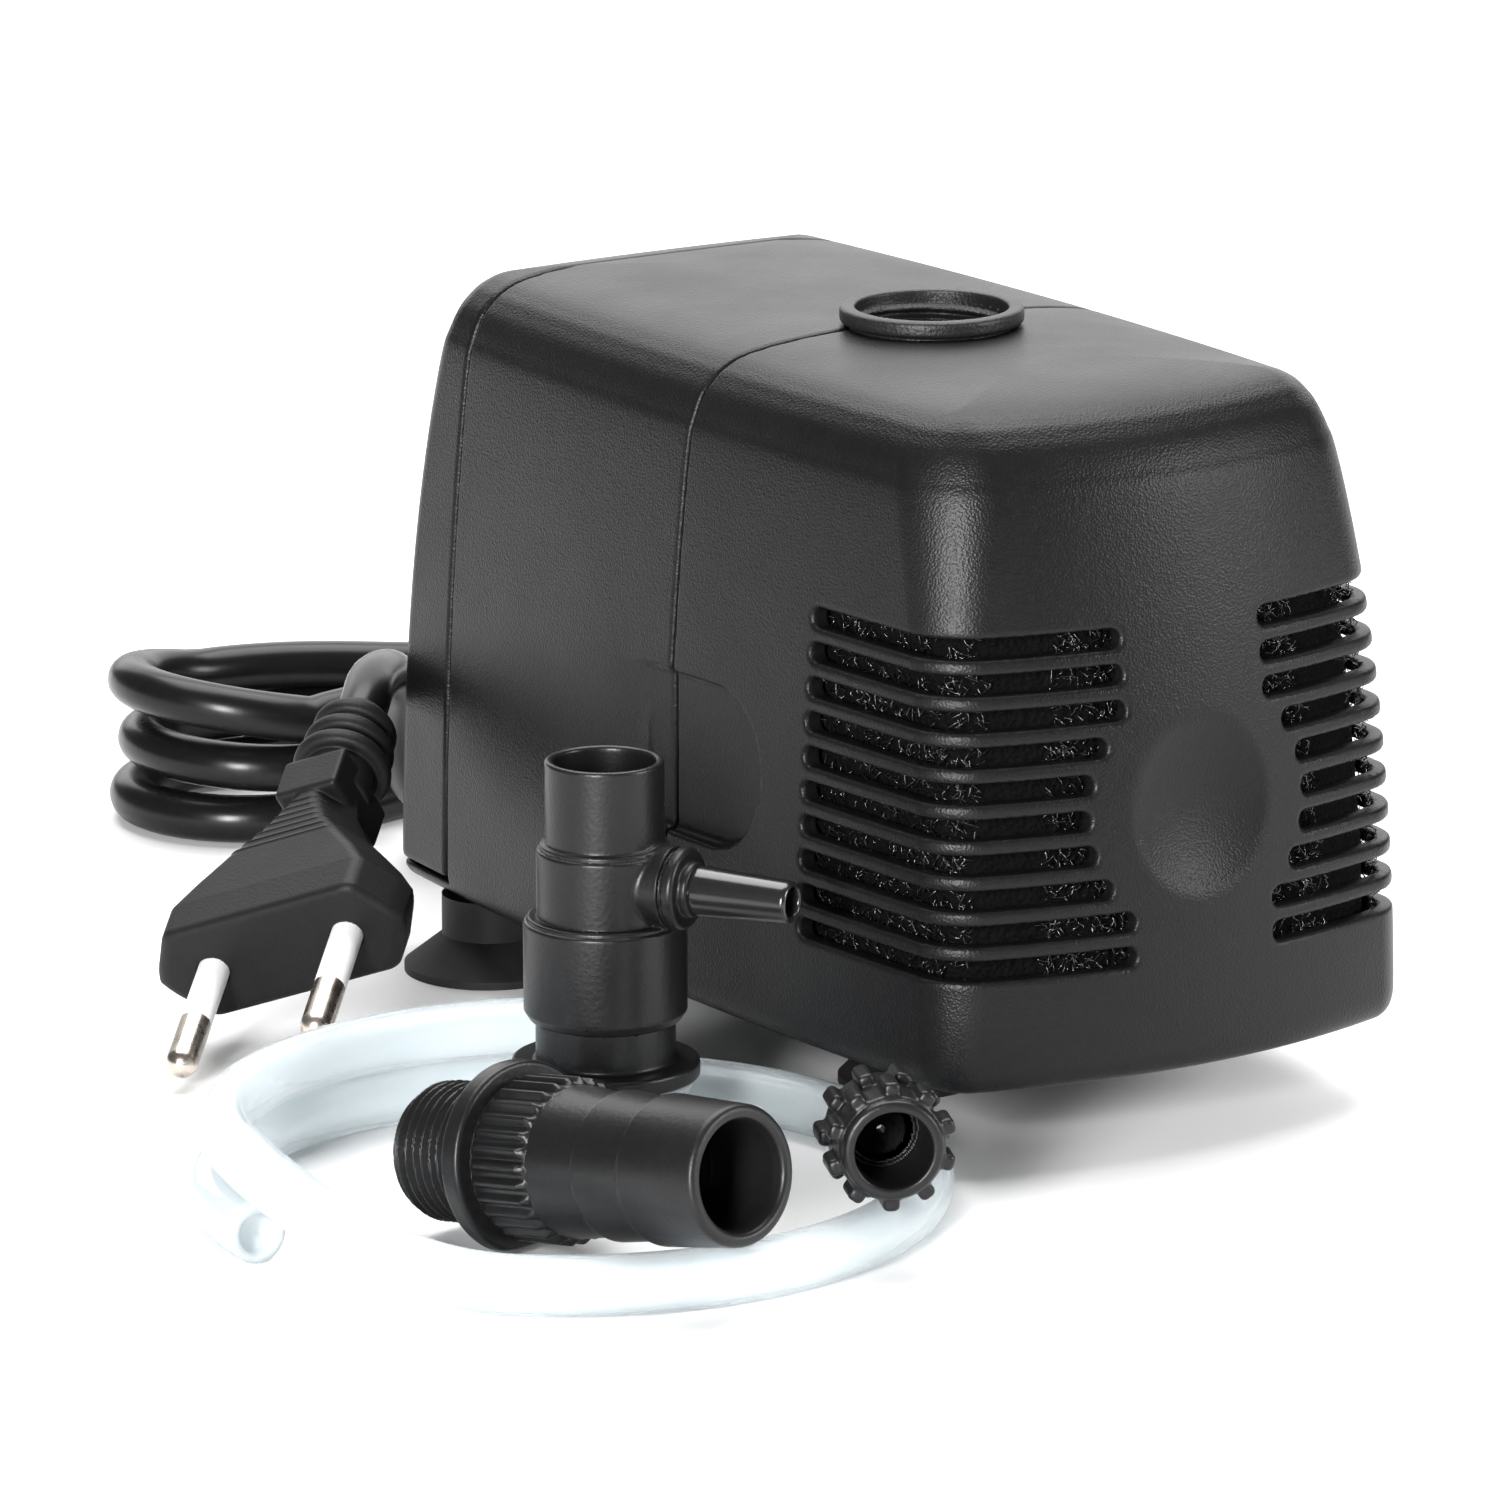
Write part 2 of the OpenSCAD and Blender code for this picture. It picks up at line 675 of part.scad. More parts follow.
rear_cover();
motor_housing();
front_cage();
filter_sponge();
pump_chamber();
chamber_cover();
impeller();
rotor_magnet();
rotor_shaft();
front_bush();
rear_bush();
rotor_can();
stator_core();
coil_bobbins();
coil_windings();
potting_block();
seal_ring();
cable_gland();
front_feet();
rear_feet();
chamber_screws();
cord_lead();
cord_hank();
cord_tail();
plug_body();
plug_strain_relief();
plug_pins();
pin_sleeves();
tee_body();
tee_nozzle();
tee_gasket();
hose_tail();
regulator_cap();
air_tube();
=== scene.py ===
import math

import bmesh
import bpy
import numpy as np
from mathutils import Matrix, Vector


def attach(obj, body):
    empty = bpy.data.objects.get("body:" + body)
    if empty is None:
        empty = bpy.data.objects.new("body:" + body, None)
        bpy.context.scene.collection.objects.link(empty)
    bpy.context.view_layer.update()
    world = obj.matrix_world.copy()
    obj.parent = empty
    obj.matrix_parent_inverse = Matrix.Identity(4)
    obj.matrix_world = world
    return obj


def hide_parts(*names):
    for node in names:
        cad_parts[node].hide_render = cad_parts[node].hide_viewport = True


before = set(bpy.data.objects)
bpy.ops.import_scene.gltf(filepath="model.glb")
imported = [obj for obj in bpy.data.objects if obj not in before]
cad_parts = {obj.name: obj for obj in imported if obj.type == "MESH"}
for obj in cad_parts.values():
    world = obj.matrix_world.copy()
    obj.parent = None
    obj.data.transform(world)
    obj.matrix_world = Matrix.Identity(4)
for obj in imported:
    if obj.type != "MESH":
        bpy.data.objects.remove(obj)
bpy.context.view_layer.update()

MM = 0.001
SEED = 7
# Shapes and the places of pieces are in mm; camera, lights and materials are in metres.
# A shape function takes x, y, z in the piece's own frame.
GLAND_AT = (0, 62, 20)
CORD_R = 3.2

# ---------------------------------------------------------------- camera
# Solved from the slot rows, joint lines and round rims seen in the photo.
CAMERA_AT = (-0.6237, -0.92334, 0.31576)
CAMERA_RIGHT = (0.83692, -0.54733, -0.00109)
CAMERA_UP = (0.13471, 0.20405, 0.96965)
CAMERA_BACK = (-0.53049, -0.81166, 0.24451)


def make_camera():
    data = bpy.data.cameras.new("camera")
    data.lens = 221.85
    data.sensor_width = 36
    data.clip_start = 0.05
    data.clip_end = 50
    cam = bpy.data.objects.new("camera", data)
    bpy.context.scene.collection.objects.link(cam)
    turn = Matrix((CAMERA_RIGHT, CAMERA_UP, CAMERA_BACK)).transposed().to_4x4()
    cam.matrix_world = Matrix.Translation(CAMERA_AT) @ turn
    bpy.context.scene.camera = cam


make_camera()


# ---------------------------------------------------------------- materials
def new_material(name, color, roughness, specular=0.5):
    mat = bpy.data.materials.new(name)
    mat.use_nodes = True
    shader = mat.node_tree.nodes["Principled BSDF"]
    shader.inputs["Base Color"].default_value = (*color, 1)
    shader.inputs["Roughness"].default_value = roughness
    shader.inputs["Specular IOR Level"].default_value = specular
    return mat, mat.node_tree.nodes, mat.node_tree.links, shader


def coordinates(nodes, links, scale):
    where = nodes.new("ShaderNodeTexCoord")
    mapping = nodes.new("ShaderNodeMapping")
    mapping.inputs["Scale"].default_value = scale
    links.new(where.outputs["Object"], mapping.inputs["Vector"])
    return mapping.outputs["Vector"]


def noise(nodes, links, vector, scale, detail=2.0, rough=0.5):
    node = nodes.new("ShaderNodeTexNoise")
    node.inputs["Scale"].default_value = scale
    node.inputs["Detail"].default_value = detail
    node.inputs["Roughness"].default_value = rough
    links.new(vector, node.inputs["Vector"])
    return node.outputs["Fac"]


def remap(nodes, links, value, low, high, to_low, to_high):
    node = nodes.new("ShaderNodeMapRange")
    node.inputs["From Min"].default_value = low
    node.inputs["From Max"].default_value = high
    node.inputs["To Min"].default_value = to_low
    node.inputs["To Max"].default_value = to_high
    links.new(value, node.inputs["Value"])
    return node.outputs["Result"]


def mix_color(nodes, links, fac, a, b):
    node = nodes.new("ShaderNodeMix")
    node.data_type = "RGBA"
    node.inputs["A"].default_value = (*a, 1)
    node.inputs["B"].default_value = (*b, 1)
    links.new(fac, node.inputs["Factor"])
    return node.outputs["Result"]


def add_bump(nodes, links, shader, height, strength, distance):
    node = nodes.new("ShaderNodeBump")
    node.inputs["Strength"].default_value = strength
    node.inputs["Distance"].default_value = distance
    links.new(height, node.inputs["Height"])
    links.new(node.outputs["Normal"], shader.inputs["Normal"])


def moulded(name, color, rough, grain_mm, strength, specular=0.5, mottle=0.25, distance=0.00006):
    """Moulded plastic or rubber with a fine pebbled grain and slightly uneven gloss."""
    mat, nodes, links, shader = new_material(name, color, rough, specular)
    at = coordinates(nodes, links, (1, 1, 1))
    cells = nodes.new("ShaderNodeTexVoronoi")
    cells.feature = "SMOOTH_F1"
    cells.inputs["Scale"].default_value = 1000 / grain_mm
    cells.inputs["Smoothness"].default_value = 0.6
    links.new(at, cells.inputs["Vector"])
    fine = noise(nodes, links, at, 1400 / grain_mm, 2.0)
    pebble = nodes.new("ShaderNodeMath")
    pebble.operation = "MULTIPLY_ADD"
    pebble.inputs[1].default_value = 0.6
    links.new(fine, pebble.inputs[0])
    links.new(cells.outputs["Distance"], pebble.inputs[2])
    add_bump(nodes, links, shader, pebble.outputs[0], strength, distance)
    broad = noise(nodes, links, at, 38, 3.0, 0.6)
    uneven = remap(nodes, links, broad, 0.3, 0.7, rough - 0.04, rough + 0.05)
    links.new(uneven, shader.inputs["Roughness"])
    dark = tuple(c * (1 - mottle) for c in color)
    light = tuple(c * (1 + mottle) for c in color)
    specks = noise(nodes, links, at, 700, 2.0)
    links.new(mix_color(nodes, links, specks, dark, light), shader.inputs["Base Color"])
    return mat


def metal(name, color, rough, stretch, scale):
    """Bare metal with fine drawn or ground marks."""
    mat, nodes, links, shader = new_material(name, color, rough)
    shader.inputs["Metallic"].default_value = 1
    at = coordinates(nodes, links, stretch)
    marks = noise(nodes, links, at, scale, 3.0, 0.6)
    uneven = remap(nodes, links, marks, 0.25, 0.75, rough * 0.75, rough * 1.35)
    links.new(uneven, shader.inputs["Roughness"])
    tint = tuple(c * 0.86 for c in color)
    links.new(mix_color(nodes, links, marks, tint, color), shader.inputs["Base Color"])
    add_bump(nodes, links, shader, marks, 0.12, 0.00004)
    return mat


def clear_silicone(name):
    """Milky, partly see-through silicone."""
    mat, nodes, links, shader = new_material(name, (0.93, 0.95, 0.96), 0.16)
    shader.inputs["IOR"].default_value = 1.3
    shader.inputs["Transmission Weight"].default_value = 0.6
    shader.inputs["Alpha"].default_value = 0.72
    at = coordinates(nodes, links, (1, 1, 1))
    cloud = noise(nodes, links, at, 160, 3.0)
    links.new(remap(nodes, links, cloud, 0.3, 0.7, 0.13, 0.24), shader.inputs["Roughness"])
    milky = mix_color(nodes, links, cloud, (0.8, 0.87, 0.9), (0.88, 0.93, 0.95))
    links.new(milky, shader.inputs["Base Color"])
    add_bump(nodes, links, shader, noise(nodes, links, at, 900, 2.0), 0.05, 0.00003)
    return mat


SHELL = moulded("satin_shell", (0.0052, 0.0052, 0.0056), 0.37, 0.3, 0.75, 0.2)
INNER = moulded("inner_plastic", (0.018, 0.018, 0.019), 0.5, 0.5, 0.35, 0.45)
FITTING = moulded("fitting_plastic", (0.0065, 0.0065, 0.007), 0.36, 0.6, 0.3, 0.3)
GRAINED = moulded("grained_plastic", (0.0095, 0.0095, 0.01), 0.44, 0.42, 0.9, 0.35)
NOZZLE = moulded("polished_plastic", (0.01, 0.01, 0.0105), 0.16, 0.9, 0.06, 0.6)
CORD = moulded("cord_sheath", (0.005, 0.005, 0.0054), 0.3, 1.2, 0.1, 0.24)
PLUG = moulded("plug_rubber", (0.007, 0.007, 0.0074), 0.5, 0.35, 0.35, 0.2)
RUBBER = moulded("foot_rubber", (0.012, 0.012, 0.012), 0.6, 0.8, 0.3, 0.35)
FOAM = moulded("filter_foam", (0.0015, 0.0015, 0.0017), 0.8, 0.7, 1.0, 0.08, 0.6, 0.0004)
STRAND = moulded("foam_strand", (0.004, 0.004, 0.0045), 0.14, 0.3, 0.05, 0.9)
SLEEVE = moulded("white_sleeve", (0.86, 0.86, 0.85), 0.38, 0.8, 0.1, 0.5, 0.02)
IMPELLER = moulded("impeller_plastic", (0.75, 0.75, 0.72), 0.38, 0.8, 0.12, 0.5, 0.03)
CERAMIC = moulded("shaft_ceramic", (0.86, 0.85, 0.8), 0.22, 0.3, 0.05, 0.6, 0.02)
BOBBIN = moulded("bobbin_nylon", (0.78, 0.76, 0.66), 0.42, 0.8, 0.12, 0.5, 0.03)
RESIN = moulded("potting_resin", (0.02, 0.017, 0.014), 0.2, 3.0, 0.2, 0.5)
FERRITE = moulded("ferrite", (0.05, 0.05, 0.053), 0.5, 0.3, 0.4, 0.5)
NICKEL = metal("nickel", (0.66, 0.59, 0.52), 0.27, (1, 1, 1), 420)
STEEL = metal("screw_steel", (0.7, 0.7, 0.71), 0.28, (1, 12, 1), 260)
LAMINATION = metal("lamination_steel", (0.5, 0.5, 0.51), 0.36, (0.02, 1, 0.02), 1700)
COPPER = metal("winding_copper", (0.74, 0.34, 0.16), 0.28, (0.05, 0.05, 1), 2400)
SILICONE = clear_silicone("milky_silicone")

NODE_LOOKS = {
    "filter_sponge": FOAM, "chamber_cover": INNER, "impeller": IMPELLER,
    "rotor_magnet": FERRITE, "rotor_shaft": CERAMIC, "front_bush": RUBBER, "rear_bush": RUBBER,
    "rotor_can": INNER, "stator_core": LAMINATION, "coil_bobbins": BOBBIN, "coil_windings": COPPER,
    "potting_block": RESIN, "seal_ring": RUBBER, "front_feet": RUBBER, "rear_feet": RUBBER,
    "chamber_screws": STEEL,
}


def set_material(obj, mat):
    obj.data.materials.clear()
    obj.data.materials.append(mat)


for node_name, look in NODE_LOOKS.items():
    set_material(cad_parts[node_name], look)


# ---------------------------------------------------------------- solids from distance functions
def smooth_max(a, b, r):
    """The larger of a and b, rounded over where they differ by less than r."""
    h = np.maximum(r - np.abs(a - b), 0) / r
    return np.maximum(a, b) + h * h * r / 4


def smooth_min(a, b, r):
    return -smooth_max(-a, -b, r)


def gradient(f, p, e=0.02):
    g = np.empty_like(p)
    for axis in range(3):
        a, b = p.copy(), p.copy()
        a[:, axis] += e
        b[:, axis] -= e
        g[:, axis] = (f(a[:, 0], a[:, 1], a[:, 2]) - f(b[:, 0], b[:, 1], b[:, 2])) / (2 * e)
    return g


def surface_net(f, low, high, step):
    """The surface where f is zero, as points and outward quads. f takes x, y, z arrays in mm."""
    count = [int(math.ceil((b - a) / step)) + 1 for a, b in zip(low, high)]
    grid = [np.asarray(a + step * np.arange(n)) for a, n in zip(low, count)]
    distance = f(grid[0][:, None, None], grid[1][None, :, None], grid[2][None, None, :])
    value = np.broadcast_to(distance, count).astype(np.float32)
    inside = value < 0
    corners = np.zeros([n - 1 for n in count], np.uint8)
    for i in (0, 1):
        for j in (0, 1):
            for k in (0, 1):
                corners += inside[i:count[0] - 1 + i, j:count[1] - 1 + j, k:count[2] - 1 + k]
    active = (corners > 0) & (corners < 8)
    cell = np.argwhere(active)
    ids = np.full(active.shape, -1, np.int32)
    ids[active] = np.arange(len(cell))
    total = np.zeros((len(cell), 3))
    hits = np.zeros(len(cell))
    for axis in range(3):
        others = [a for a in range(3) if a != axis]
        for p in (0, 1):
            for q in (0, 1):
                start = np.zeros(3, int)
                start[others[0]], start[others[1]] = p, q
                end = start.copy()
                end[axis] = 1
                va = value[tuple((cell + start).T)]
                vb = value[tuple((cell + end).T)]
                crossed = (va < 0) != (vb < 0)
                t = np.where(crossed, va / np.where(crossed, va - vb, 1), 0)
                at = np.repeat(start[None].astype(float), len(cell), 0)
                at[:, axis] = t
                total += at * crossed[:, None]
                hits += crossed
    points = np.asarray(low) + step * (cell + total / hits[:, None])
    quads = []
    for axis in range(3):
        b, c = (axis + 1) % 3, (axis + 2) % 3
        size = list(count)
        here = [slice(0, n) for n in size]
        here[axis] = slice(0, size[axis] - 1)
        here[b] = slice(1, size[b] - 1)
        here[c] = slice(1, size[c] - 1)
        there = list(here)
        there[axis] = slice(1, size[axis])
        sa, sb = inside[tuple(here)], inside[tuple(there)]
        spot = np.argwhere(sa != sb)
        out = sa[tuple(spot.T)]
        spot[:, b] += 1
        spot[:, c] += 1
        ub, uc = np.eye(3, dtype=int)[b], np.eye(3, dtype=int)[c]
        ring = [ids[tuple((spot - m * ub - n * uc).T)] for m, n in ((0, 0), (1, 0), (1, 1), (0, 1))]
        ring = np.stack(ring, 1)
        quads.append(np.where(out[:, None], ring, ring[:, ::-1]))
    points = settle(f, points, step)
    return points, np.concatenate(quads)


def settle(f, points, step):
    """Moves points onto the surface where f is zero, by less than half a step at a time."""
    for _ in range(2):
        g = gradient(f, points)
        d = f(points[:, 0], points[:, 1], points[:, 2])
        move = g * (d / np.maximum((g * g).sum(1), 0.05))[:, None]
        length = np.linalg.norm(move, axis=1)
        points = points - move * np.minimum(1, 0.45 * step / np.maximum(length, 1e-9))[:, None]
    return points


def mesh_object(name, points, faces, mat):
    """points in mm; faces an array of equal-sided faces."""
    mesh = bpy.data.meshes.new(name)
    sides = faces.shape[1]
    mesh.vertices.add(len(points))
    mesh.vertices.foreach_set("co", (np.asarray(points) * MM).astype(np.float32).ravel())
    mesh.loops.add(faces.size)
    mesh.loops.foreach_set("vertex_index", faces.astype(np.int32).ravel())
    mesh.polygons.add(len(faces))
    mesh.polygons.foreach_set("loop_start", np.arange(len(faces), dtype=np.int32) * sides)
    mesh.update(calc_edges=True)
    mesh.validate()
    mesh.shade_smooth()
    mesh.materials.append(mat)
    obj = bpy.data.objects.new(name, mesh)
    bpy.context.scene.collection.objects.link(obj)
    return obj


MOST_QUADS = 92000


def moulding(name, f, low, high, step, mat, frame_matrix=None):
    """One moulded piece from its distance function, thinned if it has too many faces."""
    points, quads = surface_net(f, low, high, step)
    obj = mesh_object(name, points, quads, mat)
    if len(quads) > MOST_QUADS:
        thin = obj.modifiers.new("thin", "DECIMATE")
        thin.ratio = MOST_QUADS / len(quads)
        shown = obj.evaluated_get(bpy.context.evaluated_depsgraph_get())
        slim = bpy.data.meshes.new_from_object(shown)
        obj.modifiers.clear()
        obj.data = slim
        obj.data.shade_smooth()
    count = len(obj.data.vertices)
    at = np.empty(count * 3)
    obj.data.vertices.foreach_get("co", at)
    normals = gradient(f, at.reshape(-1, 3) / MM)
    normals /= np.maximum(np.linalg.norm(normals, axis=1), 1e-9)[:, None]
    obj.data.normals_split_custom_set_from_vertices(normals)
    if frame_matrix is not None:
        obj.data.transform(frame_matrix)
    return obj


# ---------------------------------------------------------------- the pump's outside
FOOT_H = 10.0
BODY_H = 80.5
TOP_Z = FOOT_H + BODY_H
AXIS_Z = 42.0
WALL = 2.6
LIP_H = WALL - 0.2
LINE_B = -6.4
LINE_A = 47.5
OUTLET_Y = -9.7
COLLAR_R = 10.4
GLAND_HOLE_R = 4.2
# The rounded upper edge, as distance in from the wall and depth below the crown.
TOP_EDGE = [(0, 64), (0, 44), (0, 26), (0.1, 12), (0.6, 8.4), (1.5, 5.6), (2.8, 3.9), (4.2, 2.7),
            (7, 1.5), (13, 0.6), (22, 0.05), (34, 0), (60, 0)]
PROFILE_STEP = 0.2
PROFILE_FROM = -6.0
PROFILE_N = 211


def catmull(p, per):
    """A smooth line through the points p, with per steps between two of them."""
    p = np.asarray(p, float)
    q = np.vstack([2 * p[0] - p[1], p, 2 * p[-1] - p[-2]])
    t = np.linspace(0, 1, per, endpoint=False)[:, None]
    parts = []
    for i in range(1, len(q) - 2):
        a, b, c, d = q[i - 1], q[i], q[i + 1], q[i + 2]
        parts.append(0.5 * (2 * b + (c - a) * t + (2 * a - 5 * b + 4 * c - d) * t ** 2
                            + (3 * b - a - 3 * c + d) * t ** 3))
    return np.vstack(parts + [p[-1:]])


def profile_table():
    """Distance to the rounded upper edge, over distance in from the wall and distance below the crown."""
    line = catmull(TOP_EDGE, 14)
    line[:, 0] = np.maximum(line[:, 0], 0)
    axis = PROFILE_FROM + PROFILE_STEP * np.arange(PROFILE_N)
    m, h = np.meshgrid(axis, axis, indexing="ij")
    best = np.full(m.shape, 1e9)
    for a, b in zip(line[:-1], line[1:]):
        d = b - a
        t = np.clip(((m - a[0]) * d[0] + (h - a[1]) * d[1]) / max(d @ d, 1e-12), 0, 1)
        best = np.minimum(best, np.hypot(m - a[0] - t * d[0], h - a[1] - t * d[1]))
    depth = np.interp(axis, line[:, 0], line[:, 1])
    first = line[np.argmax(line[:, 0] > 1e-6) - 1, 1]
    depth = np.where(axis < 0, 1e9, np.minimum(depth, first))
    return np.where((h > depth[:, None]) & (m > 0), -best, best)


EDGE_TABLE = profile_table()


def edge_distance(m, h):
    i = np.clip((m - PROFILE_FROM) / PROFILE_STEP, 0, PROFILE_N - 1.001)
    j = np.clip((h - PROFILE_FROM) / PROFILE_STEP, 0, PROFILE_N - 1.001)
    i0, j0 = i.astype(int), j.astype(int)
    u, v = i - i0, j - j0
    t = EDGE_TABLE
    return ((1 - u) * (1 - v) * t[i0, j0] + u * (1 - v) * t[i0 + 1, j0]
            + (1 - u) * v * t[i0, j0 + 1] + u * v * t[i0 + 1, j0 + 1])


def envelope(x, y, z):
    """The whole outside of the pump, leaning in and rounding over towards its crown."""
    up = np.maximum(z - FOOT_H, 0)
    lean = 0.0008 * up * up
    half = 34 - lean
    across = np.minimum((x / half) ** 2, 1.2)
    side = half + 3.2 * (1 - (y / 62.5) ** 2) - np.abs(x)
    nose = (62.5 - 1.9 * lean + 6.4 * (1 - across) + y) / 0.9
    back = (62.9 - 0.9 * lean + 1.5 * (1 - across) - y) / 0.8
    end = np.minimum(nose, back)
    r = 4.8 + 3.5 * np.clip((z - 45) / 40, 0, 1) ** 2
    a = r - side
    b = r - end
    outside = np.hypot(np.maximum(a, 0), np.maximum(b, 0)) + np.minimum(np.maximum(a, b), 0)
    # Adding 0 * x and 0 * y gives the height the full shape of the grid.
    shape = edge_distance(r - outside, TOP_Z - z + 0 * x + 0 * y)
    return smooth_max(shape, FOOT_H - z, 4.0)


THUMB_Y = -5.5
THUMB_Z = AXIS_Z - 0.7
THUMB_TILT = math.radians(4)


def stadium(u, v, length, height):
    """Distance to a slot shape with round ends, long along u and high along v."""
    r = height / 2
    return np.hypot(np.maximum(np.abs(u) - (length / 2 - r), 0), v) - r


def thumb(x, y, z):
    """The sloping recess on each long side."""
    ax = np.abs(x)
    plane = (33.8 + (y + 26) * math.tan(THUMB_TILT) - ax) * math.cos(THUMB_TILT)
    return smooth_max(stadium(y - THUMB_Y, z - THUMB_Z, 41, 20), plane, 1.2)


def hollow_shell(x, y, z):
    """The outside less the inside, with a pad of wall behind each thumb recess."""
    outside = envelope(x, y, z)
    body = smooth_max(outside, -thumb(x, y, z), 0.35)
    pad = np.maximum(stadium(y - THUMB_Y, z - THUMB_Z, 45, 24), 31.6 - np.abs(x))
    inside = np.maximum(outside + WALL, -pad)
    return np.maximum(body, -inside)


def outlet_gap(x, y, z):
    """The round opening in the top that the outlet stands in."""
    return np.maximum(np.hypot(x, y - OUTLET_Y) - COLLAR_R, 60 - z)


def dish(x, y, z):
    """The shallow round hollow in the middle of the nose."""
    return np.sqrt(x * x + (y + 101.1) ** 2 + (z - AXIS_Z - 3.5) ** 2) - 35.8


SLOT_TOP = 64.3
SLOT_PITCH = 4.2
SLOT_R = 1.2
SLOT_BACK = -34.5
SLOT_ROWS = 10
SLOT_INNER = 10
DISH_R = 15.3


def slots(x, y, z):
    """The rows of slots, open from beside the dish round the corners and back along both sides."""
    ax = np.abs(x)
    best = None
    for k in range(SLOT_ROWS):
        zk = SLOT_TOP - k * SLOT_PITCH - SLOT_R
        d = zk - AXIS_Z
        inner = (math.sqrt(DISH_R ** 2 - d * d) if abs(d) < 12 else SLOT_INNER) + SLOT_R
        one = np.sqrt((z - zk) ** 2 + np.maximum(inner - ax, 0) ** 2
                      + np.maximum(y - SLOT_BACK + SLOT_R, 0) ** 2) - SLOT_R
        best = one if best is None else np.minimum(best, one)
    return best


def cage_shape(x, y, z):
    """The slotted front part of the shell, cut free of the outlet so that it can be pulled off."""
    shell = hollow_shell(x, y, z)
    boss = np.maximum(np.hypot(x, z - AXIS_Z) - 13.8, y + 63.7)
    shell = np.minimum(shell, np.maximum(boss, envelope(x, y, z) + 0.5))
    shell = smooth_max(shell, -dish(x, y, z), 0.35)
    shell = smooth_max(shell, -slots(x, y, z), 0.75)
    shell = np.maximum(shell, -outlet_gap(x, y, z))
    slot_up = np.maximum(np.maximum(np.abs(x) - COLLAR_R, OUTLET_Y - y), 60 - z)
    shell = np.maximum(shell, -slot_up)
    return smooth_max(shell, y - (LINE_B - 0.17), 0.7)


def housing_shape(x, y, z):
    """The middle part of the shell, with the wall that carries the pump chamber."""
    shell = hollow_shell(x, y, z)
    bulkhead = np.maximum(envelope(x, y, z) + 0.6, np.abs(y) - 1.5)
    hub = np.hypot(x, z - AXIS_Z) - 17.05
    shell = np.minimum(shell, np.maximum(bulkhead, -hub))
    shell = np.maximum(shell, -outlet_gap(x, y, z))
    shell = smooth_max(shell, (LINE_B + 0.17) - y, 0.7)
    beyond = np.minimum(y - (LINE_A - 0.05), np.maximum(z - FOOT_H - LIP_H, LINE_A - 3 - y))
    return smooth_max(shell, beyond, 0.7)


def cover_shape(x, y, z):
    """The rear part of the shell, with the hole for the cord gland."""
    outside = envelope(x, y, z)
    shell = np.maximum(outside, -(outside + WALL))
    shell = np.maximum(shell, GLAND_HOLE_R - np.hypot(x, z - GLAND_AT[2]))
    shell = smooth_max(shell, FOOT_H + LIP_H + 0.4 - z, 0.7)
    return smooth_max(shell, (LINE_A + 0.32) - y, 0.9)


# ---------------------------------------------------------------- round fittings
THREAD_PITCH = 1.34
SPOUT_TURN = -60
SPOUT_HEIGHT = 35
FLUTES = 30
KNOBS = 10
PIN_OFFSET = 9.5


def polar(x, y):
    return np.hypot(x, y), np.arctan2(y, x)


def rod(rho, z, r, z0, z1, edge=0.5):
    """A solid of revolution about z of radius r from z0 to z1, with rounded rims."""
    return smooth_max(rho - r, np.abs(z - (z0 + z1) / 2) - (z1 - z0) / 2, edge)


def taper(rho, z, r0, r1, z0, z1, edge=0.5):
    """The same with a radius that runs from r0 to r1."""
    radius = r0 + (r1 - r0) * np.clip((z - z0) / (z1 - z0), 0, 1)
    return smooth_max(rho - radius, np.abs(z - (z0 + z1) / 2) - (z1 - z0) / 2, edge)


def thread(rho, turn, z, crest, depth, z0, z1):
    """An external screw thread whose crests reach the radius crest."""
    phase = (z / THREAD_PITCH - turn / (2 * np.pi)) % 1
    wave = np.abs(2 * phase - 1)
    radius = crest - depth * np.clip(1.35 * wave - 0.1, 0, 1)
    lead_in = np.clip((z - z0) / 1.6, 0, 1)
    radius = radius - depth * (1 - lead_in)
    return smooth_max((rho - radius) * 0.8, np.abs(z - (z0 + z1) / 2) - (z1 - z0) / 2, 0.3)


def tee_shape(x, y, z):
    """The venturi tee, standing on its thread, with the boss of its air spout."""
    rho, turn = polar(x, y)
    s = thread(rho, turn, z, 8.2, 0.85, 0, 11.5)
    s = smooth_min(s, rod(rho, z, 11.2, 11, 13.1, 0.5), 0.3)
    s = smooth_min(s, rod(rho, z, 8.3, 11, 20, 0.3), 0.5)
    s = np.minimum(s, taper(rho, z, 8.9, 9.7, 18, 19.2, 0.3))
    s = np.minimum(s, rod(rho, z, 9.7, 18.9, 30.1, 0.5))
    s = np.minimum(s, rod(rho, z, 9.25, 29, 30.6, 0.3))
    s = np.minimum(s, rod(rho, z, 8.1, 30, 38.8, 0.5))
    s = np.minimum(s, rod(rho, z, 7.7, 38, 39.4, 0.3))
    s = smooth_min(s, rod(rho, z, 7.05, 39, 49.5, 0.5), 0.4)
    c = math.cos(math.radians(SPOUT_TURN))
    n = math.sin(math.radians(SPOUT_TURN))
    along = x * c + y * n
    off = np.hypot(-x * n + y * c, z - SPOUT_HEIGHT)
    boss = rod(off, along, 4.9, 2, 11.2, 0.7)
    groove = np.maximum(4.45 - off, np.abs(along - 9.5) - 0.25)
    boss = smooth_max(boss, -groove, 0.2)
    boss = smooth_max(boss, 2.9 - off, 0.4)
    boss = smooth_min(boss, rod(off, along, 3.3, 2, 12.3, 0.5), 0.2)
    s = smooth_min(s, boss, 0.5)
    s = smooth_max(s, 5.8 + 0.25 * (z > 39.5) - rho, 0.6)
    return np.maximum(s, np.where(along > 0, 2.0 - off, -9))


